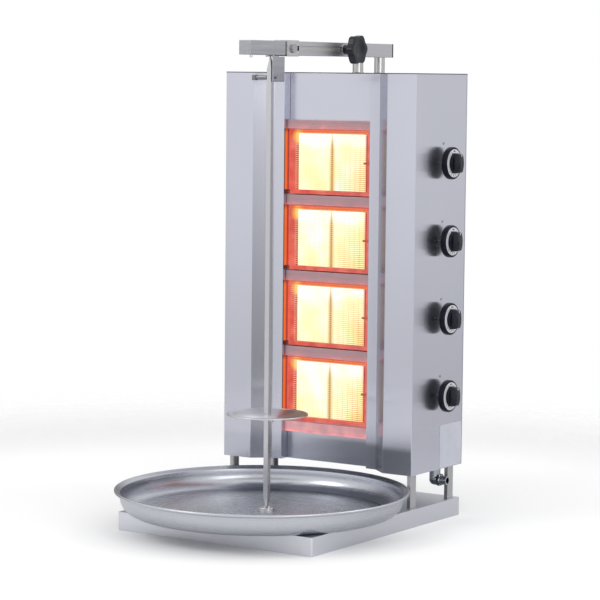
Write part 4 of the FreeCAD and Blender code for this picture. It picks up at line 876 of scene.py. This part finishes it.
def knob(count):
    """The skirt and hub of one knob, with its grip on them."""
    low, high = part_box(f"knob_{count}")
    dial_low, dial_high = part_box(f"dial_{count}")
    centre = Vector((0, (low.y + high.y) / 2, (low.z + high.z) / 2))
    radius, back, face, floor = (high.y - low.y) / 2, low.x + 4.5 * MM, dial_high.x, dial_low.x
    neck = 7 * MM
    well = (dial_high.y - dial_low.y) / 2
    profile = [(0, low.x), (6.4 * MM, low.x), (neck, low.x + 0.6 * MM), (neck, back - 1 * MM),
               (neck + 1 * MM, back)]
    profile += arc((radius - 2.5 * MM, back + 2.5 * MM), 2.5 * MM, -90, 0, 5)
    profile += arc((radius - 3.5 * MM, face - 3.5 * MM), 3.5 * MM, 0, 80, 6)
    profile += [(well + 0.3 * MM, face), (well, floor), (0, floor)]
    mesh = lathe(profile, OUT, centre, 96)
    publish(mesh, f"moulded_knob_{count}", f"knob_set_{count}", "skirt_black",
            f"knob_{count}")
    grip(count, centre, floor, high.x)
    return centre


print("skirts can be turned")

# %% Set the grips


def grip(count, centre, start, end):
    """The thumb grip on its boss, drawn in towards its end, and the pointer line let into it."""
    tall, wide, ride = 46 * MM, 21 * MM, f"knob_set_{count}"
    boss = [(0, start), (22.5 * MM, start)] + arc((18 * MM, start + 2 * MM), 4.5 * MM, 0, 75, 5)
    boss.append((0, start + 7 * MM))
    publish(lathe(boss, OUT, centre, 64), f"knob_boss_{count}", ride, "skirt_black")
    body = block((1, 1, 1))
    bmesh.ops.subdivide_edges(body, edges=body.edges, cuts=3, use_grid_fill=True)
    for vertex in body.verts:
        rise = vertex.co.x + 0.5
        off = (2 * vertex.co.z) ** 2
        draw = 1 - 0.12 * rise ** 2
        crown = 1 - 0.10 * off * rise
        belly = 1.22 - 0.42 * off * (1 - 0.6 * rise) - 0.16 * rise
        vertex.co = (start + (end - start) * rise * crown, centre.y + vertex.co.y * wide * draw * belly,
                     centre.z + vertex.co.z * tall * draw)
    mesh = settle(body, "grip")
    smooth(mesh, 40)
    piece = publish(mesh, f"knob_grip_{count}", ride, "black_plastic")
    rounding = piece.modifiers.new("rounding", "BEVEL")
    rounding.width = 2.6 * MM
    rounding.segments = 3
    rounding.angle_limit = math.radians(50)
    line = block((1.2 * MM, 1.6 * MM, 12 * MM), (end - 1.9 * MM, centre.y, centre.z + 14 * MM))
    publish(settle(line, "pointer"), f"knob_pointer_{count}", ride, "pointer_white")


knob_centres = [knob(count) for count in range(1, BURNERS + 1)]
print("knobs at", [round(centre.z, 4) for centre in knob_centres])

# %% [markdown]
# ## Repeated details with geometry nodes
# The mesh in front of the radiants, the marks round the dials, the screws at the back and the
# thread on the gas inlet all repeat by a rule. Each gets a node tree with named sizes. The tree
# ends by making its instances real and setting their material, and its result is kept as a plain
# mesh, so nothing is left live on the piece.

# %% Helpers for geometry trees


def geo(kind, tree=None, **inputs):
    """A geometry node's first result, from inputs named with _ for a space."""
    named = {name.replace("_", " "): value for name, value in inputs.items()}
    return add(kind, named, tree, "GeometryNode").outputs[0]


def size_tree(name, sizes):
    """A geometry tree with a mesh input and named float or whole-number sizes."""
    tree = bpy.data.node_groups.new(name, "GeometryNodeTree")
    tree.interface.new_socket("Geometry", in_out="INPUT", socket_type="NodeSocketGeometry")
    for label, value in sizes.items():
        kind = "NodeSocketInt" if isinstance(value, int) else "NodeSocketFloat"
        tree.interface.new_socket(label, in_out="INPUT", socket_type=kind).default_value = value
    tree.interface.new_socket("Geometry", in_out="OUTPUT", socket_type="NodeSocketGeometry")
    return tree, tree.nodes.new("NodeGroupInput").outputs


def finish_tree(geometry, material):
    """Make the instances real, set the material and end the geometry's tree."""
    tree = geometry.id_data
    real = geo("RealizeInstances", Geometry=geometry)
    coloured = geo("SetMaterial", Geometry=real, Material=LOOKS[material])
    tree.links.new(coloured, tree.nodes.new("NodeGroupOutput").inputs["Geometry"])
    return tree


def tube(curve, radius, sides, caps=False):
    """A curve swept with a circle."""
    ring = geo("CurvePrimitiveCircle", Resolution=sides, Radius=radius)
    return geo("CurveToMesh", Curve=curve, Profile_Curve=ring, Fill_Caps=caps)


def grow(tree, start=None, **sizes):
    """The plain mesh that the tree makes from a starting mesh and sizes."""
    host = put("host", start or bpy.data.meshes.new("empty"))
    modifier = host.modifiers.new("grow", "NODES")
    modifier.node_group = tree
    for item in tree.interface.items_tree:
        if item.in_out == "INPUT" and item.name in sizes:
            modifier[item.identifier] = sizes[item.name]
    bpy.context.view_layer.update()
    shaped = host.evaluated_get(bpy.context.evaluated_depsgraph_get())
    mesh = bpy.data.meshes.new_from_object(shaped)
    host.modifiers.remove(modifier)
    bpy.data.objects.remove(host)
    return mesh


print("geometry helpers ready")

# %% [markdown]
# Before each radiant hangs a screen of wires that shields it. The level wires lie in one plane, and
# thinner uprights pass before and behind them in turn, as a sine wave along their height. Every
# other upright is turned half round, so that it weaves the opposite way.

# %% Weave the hot mesh
WIRE_R, WIRE_PITCH = 0.60 * MM, 4.6 * MM
UPRIGHT_PITCH = 13.4 * MM


def mesh_tree():
    """Level wires, and uprights that weave before and behind them, for one screen."""
    tree, given = size_tree("woven_screen", {
        "Width": 0.2, "Height": 0.1, "Rows": 10, "Columns": 4, "Wire": 0.001})
    wide, tall, wire = given["Width"], given["Height"], given["Wire"]
    row_gap = calc("DIVIDE", tall, given["Rows"])
    column_gap = calc("DIVIDE", wide, given["Columns"])
    level = geo("CurvePrimitiveLine", Start=(0, 0, 0), End=vector_of(wide))
    rows = geo("MeshLine", Count=given["Rows"], Offset=vector_of(z=row_gap),
               Start_Location=vector_of(z=times(row_gap, 0.5)))
    level = tube(level, wire, 6, True)
    levels = geo("InstanceOnPoints", Points=rows, Instance=level)
    upright = geo("CurvePrimitiveLine", Start=(0, 0, 0), End=vector_of(z=tall))
    fine = geo("ResampleCurve", Curve=upright, Count=scaled(given["Rows"], 2.0, 1.0))
    height = axes(geo("InputPosition", tree))[2]
    phase = times(calc("DIVIDE", height, row_gap), math.pi)
    sway = times(calc("SINE", phase), times(wire, 1.6))
    woven = geo("SetPosition", Geometry=fine, Offset=vector_of(y=sway))
    columns = geo("MeshLine", Count=given["Columns"], Offset=vector_of(column_gap),
                  Start_Location=vector_of(times(column_gap, 0.5)))
    odd = calc("MODULO", geo("InputIndex", tree), 2.0)
    uprights = geo("InstanceOnPoints", Points=columns,
                   Instance=tube(woven, times(wire, 0.5), 6, True),
                   Rotation=vector_of(z=times(odd, math.pi)))
    join = add("JoinGeometry", tree=tree, family="GeometryNode")
    for part in (levels, uprights):
        tree.links.new(part, join.inputs[0])
    return finish_tree(join.outputs[0], "hot_mesh")


def screens():
    """Four woven screens, each between two rails."""
    low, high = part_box("mesh_screens")
    tall = high.z - low.z - (BURNERS - 1) * PITCH
    wide = high.x - low.x
    one = grow(mesh_tree(), Width=wide, Height=tall, Rows=round(tall / WIRE_PITCH),
               Columns=round(wide / UPRIGHT_PITCH), Wire=WIRE_R)
    whole = bmesh.new()
    for count in range(BURNERS):
        copy = one.copy()
        copy.transform(Matrix.Translation((low.x, (low.y + high.y) / 2, low.z + count * PITCH)))
        whole.from_mesh(copy)
    mesh = settle(whole, "woven_screens")
    mesh.shade_smooth()
    publish(mesh, "woven_screens", "root", "hot_mesh", "mesh_screens")
    return len(mesh.polygons)


print("screens:", screens(), "faces")

# %% [markdown]
# The dials carry printed marks that grow longer as the flame grows, and a dot where the tap is off.
# One small block is copied along an arc, and its length follows its place on the arc.

# %% Mark the dials
SWEEP = 270


def marks_tree():
    """Copies of a small mark set on an arc and turned to face its centre."""
    tree, given = size_tree("dial_marks", {"Count": 10, "Radius": 0.02, "Sweep": 4.7})
    points = geo("MeshLine", Count=given["Count"], Offset=(0, 0, 0))
    share = calc("DIVIDE", geo("InputIndex", tree), calc("SUBTRACT", given["Count"], 1.0))
    angle = times(share, given["Sweep"])
    spot = vector_of(y=times(calc("SINE", angle), given["Radius"]),
                     z=times(calc("COSINE", angle), given["Radius"]))
    placed = geo("SetPosition", Geometry=points, Position=spot)
    copies = geo("InstanceOnPoints", Points=placed, Instance=given["Geometry"],
                 Rotation=vector_of(x=times(angle, -1.0)),
                 Scale=vector_of(1.0, 1.0, scaled(share, 0.9, 0.5)))
    return finish_tree(copies, "dial_ink")


def dials():
    """Printed marks that grow longer round each dial, and a dot at its off place."""
    tree = marks_tree()
    low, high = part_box("dial_1")
    radius = (high.y - low.y) / 2 - 4.5 * MM
    for count, centre in enumerate(knob_centres, 1):
        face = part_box(f"dial_{count}")[1].x
        mark = settle(block((0.16 * MM, 1.1 * MM, 5 * MM)), "mark")
        mesh = grow(tree, mark, Count=15, Radius=radius, Sweep=math.radians(SWEEP))
        spot = Matrix.Translation((face, centre.y, centre.z))
        mesh.transform(spot @ Matrix.Rotation(math.radians(-SWEEP / 2 - 180), 4, "X"))
        publish(mesh, f"dial_marks_{count}", f"knob_set_{count}")
        dot = lathe([(0, 0), (2.2 * MM, 0), (2.2 * MM, 0.08 * MM), (0, 0.08 * MM)], OUT,
                    Vector((face, centre.y, centre.z + radius)), 24)
        publish(dot, f"dial_dot_{count}", f"knob_set_{count}", "dial_ink")


dials()
print("marked", BURNERS, "dials")

# %% [markdown]
# Eight pan head screws hold the back panel. One is turned like a knob, then copied over a grid of
# points as wide and as tall as the panel less its margins.

# %% Drive the back screws
SCREW_EDGE, SCREW_END = 6 * MM, 60 * MM


def screw_mesh():
    """A pan head with a recess, standing on Y."""
    radius, tall = 4 * MM, 2.4 * MM
    profile = [(0, 0), (radius, 0), (radius, 0.5 * MM)]
    profile += arc((radius - 1.9 * MM, 0.5 * MM), 1.9 * MM, 0, 80, 5)
    profile += [(1.7 * MM, tall), (0.9 * MM, tall - 1.2 * MM), (0, tall - 1.2 * MM)]
    return lathe(profile, Vector((0, 1, 0)), Vector(), 24)


def screw_tree():
    """The starting mesh copied over a grid of points in the plane of the back."""
    _, given = size_tree("screw_rows", {"Width": 0.5, "Height": 0.8, "Columns": 2, "Rows": 4})
    grid = geo("MeshGrid", Size_X=given["Width"], Size_Y=given["Height"],
               Vertices_X=given["Columns"], Vertices_Y=given["Rows"])
    upright = geo("Transform", Geometry=grid, Rotation=(math.pi / 2, 0, 0))
    copies = geo("InstanceOnPoints", Points=upright, Instance=given["Geometry"])
    return finish_tree(copies, "bright_steel")


def back_screws():
    """Eight screws down the edges of the back panel."""
    low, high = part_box("back_panel")
    mesh = grow(screw_tree(), screw_mesh(), Width=high.x - low.x - 2 * SCREW_EDGE,
                Height=high.z - low.z - 2 * SCREW_END, Columns=2, Rows=4)
    mesh.transform(Matrix.Translation((0, high.y, (low.z + high.z) / 2)))
    publish(mesh, "cross_head_screws", "root", node="back_screws")


back_screws()
print("screws driven")

# %% [markdown]
# ## Gas inlet
# Under the right rear corner an elbow brings the gas in. It is a cast brass-and-steel fitting: a
# bent body, a hexagon for the spanner and a threaded end. The body keeps the frame's solid with
# soft edges, and the hexagon and thread are added round it.

# %% Cut the inlet's hexagon and thread


def thread_tree():
    """Ridges in a row along X."""
    _, given = size_tree("thread_ridges", {
        "Count": 8, "Pitch": 0.0018, "Radius": 0.0105, "Ridge": 0.0006})
    ring = geo("CurvePrimitiveCircle", Resolution=48, Radius=given["Radius"])
    ridge = tube(ring, given["Ridge"], 4)
    stood = geo("Transform", Geometry=ridge, Rotation=(0, math.pi / 2, 0))
    points = geo("MeshLine", Count=given["Count"], Offset=vector_of(given["Pitch"]))
    return finish_tree(geo("InstanceOnPoints", Points=points, Instance=stood), "dull_steel")


def inlet():
    """Softened elbow, hexagon round its outlet, and thread ridges on the nipple."""
    low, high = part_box("inlet_elbow")
    spot = Vector((high.x, (low.y + high.y) / 2, low.z + 13 * MM))
    dress("inlet_elbow", 0.8 * MM)
    ridges = grow(thread_tree(), Count=7, Pitch=1.8 * MM, Radius=10.2 * MM, Ridge=0.5 * MM)
    ridges.transform(Matrix.Translation((spot.x - 12.5 * MM, spot.y, spot.z)))
    publish(ridges, "inlet_thread", "root")
    bore, flat, corner, tall, chamfer = 10.5 * MM, 14.2 * MM, 15 * MM, 8 * MM, 0.8 * MM
    profile = [(bore, 0), (flat, 0), (corner, chamfer), (corner, tall - chamfer), (flat, tall),
               (bore, tall)]
    mesh = lathe(profile, OUT, Vector((spot.x - 24 * MM, spot.y, spot.z)), 6)
    smooth(mesh, 20)
    publish(mesh, "inlet_hexagon", "root", "fitting_steel")


inlet()
print("inlet fitted")

# %% [markdown]
# ## Star knob
# The clamp's knob has six lobes, a crowned face and a smooth hub. Its outline is a circle whose
# radius swells six times a turn. Rings of that outline, drawn in towards both faces along
# a quarter circle, give the crown without any modifier.

# %% Shape the star knob
LOBES = 6


def star():
    """Lobed knob on its hub."""
    low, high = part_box("star_knob")
    inner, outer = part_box("clamp_screw")
    centre = Vector((0, (inner.y + outer.y) / 2, (inner.z + outer.z) / 2))
    reach, thick, crown, hub, still = 35 * MM, 17 * MM, 2.4 * MM, 11 * MM, 16 * MM
    back = high.x - thick
    profile = [(0.0, low.x), (hub, low.x), (hub, back)]
    profile += arc((reach - crown, back + crown), crown, -90, 0, 5)
    profile += arc((reach - crown, high.x - crown), crown, 0, 90, 5)
    profile += [(15 * MM, high.x), (13.5 * MM, high.x - 1.2 * MM), (0.0, high.x - 1.2 * MM)]
    mesh = lathe(profile, OUT, centre, LOBES * 16)
    for vertex in mesh.vertices:
        middle = Vector((vertex.co.x, centre.y, centre.z))
        way = vertex.co - middle
        share = max(0.0, (way.length - still) / (reach - still))
        wave = 0.5 - 0.5 * math.cos(LOBES * (math.atan2(way.z, way.y) - 0.09))
        vertex.co = middle + way * (1 - 0.14 * share * wave)
    smooth(mesh, 40)
    publish(mesh, "lobed_star_knob", "clamp_knob", "black_plastic", "star_knob")


star()
print("star knob shaped with", LOBES, "lobes")

# %% [markdown]
# ## Small trim
# Weld beads hold the posts, a bare plate is stuck low on the side where such grills carry their
# data, and a small screw sits under the arm's head.

# %% Add the trim


def posts_trim():
    """Weld beads at the feet of both posts."""
    low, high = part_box("arm_stand")
    post_r, bracket = 12.5 * MM, 3 * MM
    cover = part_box("top_cover")[1].z
    weld_ring("front_post_weld", Vector((0, low.y + post_r, cover)), post_r, 1.2 * MM, "root")
    rear = Vector((0, high.y - 16.5 * MM, low.z + bracket))
    weld_ring("rear_post_weld", rear, post_r, 1.8 * MM, "root")


def blank_plate():
    """A thin blank plate on the right side, low down at the back."""
    foot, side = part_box("right_shell")
    thick, wide, tall = 0.4 * MM, 98 * MM, 100 * MM
    body = block((thick, wide, tall),
                 (side.x + thick / 2, side.y - 3 * MM - wide / 2, foot.z + 2 * MM + tall / 2))
    corners = [edge for edge in body.edges if abs(edge.verts[0].co.x - edge.verts[1].co.x) > thick / 2]
    bmesh.ops.bevel(body, geom=corners, offset=3 * MM, segments=4, profile=0.5, affect="EDGES")
    publish(settle(body, "plate"), "blank_plate", "root", "plate_white")


def head_screw():
    """The small screw under the front of the arm's head."""
    low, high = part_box("arm_head")
    radius, tall, round_r = 3 * MM, 6 * MM, 1 * MM
    side = tall - round_r
    profile = [(0, 0), (radius, 0), (radius, side)]
    profile += arc((radius - round_r, side), round_r, 0, 90, 3) + [(0, tall)]
    mesh = lathe(profile, -UP, Vector((high.x - 6 * MM, low.y + 10 * MM, low.z)), 24)
    publish(mesh, "head_screw", "top_arm", "bright_steel")


posts_trim()
blank_plate()
head_screw()
print("trim added")

# %% [markdown]
# ## Parts that keep the frame's shape
# What is left is right as it is, most of it out of sight inside the casing. Each takes its slot's
# material and smooth shading where it is round.

# %% Finish the remaining parts
kept = [node for node, piece in frame["nodes"].items() if not piece.hide_render]
for node in kept:
    mesh = frame["nodes"][node].data
    mesh.materials.clear()
    mesh.materials.append(LOOKS[look_of(node)])
    smooth(mesh)
print("kept from the frame:", sorted(kept))

# %% [markdown]
# ## Floor
# The grill stands on a plain pale floor that fades into the white round it, so only the soft
# shadow under the grill shows. Reflections see it a little darker, most of all beside and behind.

# %% Lay the floor
FLOOR_R, FADE_FROM = 2.6, 1.0


def floor():
    """A round pale floor that fades out at its rim."""
    under, top = -6 * MM, -0.3 * MM
    mesh = lathe([(0, under), (FLOOR_R, under), (FLOOR_R, top), (0, top)], UP, Vector(), 64)
    mesh.name = "floor"
    place = surface("pale_floor")
    shown = add("MapRange", {
        0: vector_calc("LENGTH", place), 1: FADE_FROM, 2: FLOOR_R - 0.1, 3: 1.0, 4: 0.0},
        interpolation_type="SMOOTHSTEP").outputs[0]
    front = span(axes(place)[1], 0.05, -0.30)
    ground = mixed(front, (0.66, 0.66, 0.67), (0.82, 0.82, 0.83))
    seen = ray(place, "Camera")
    principled(Roughness=0.9, Base_Color=mixed(seen, ground, (0.96, 0.96, 0.96)), Alpha=shown)
    mesh.materials.append(LOOKS["pale_floor"])
    put("floor", mesh)


floor()
print("floor laid")
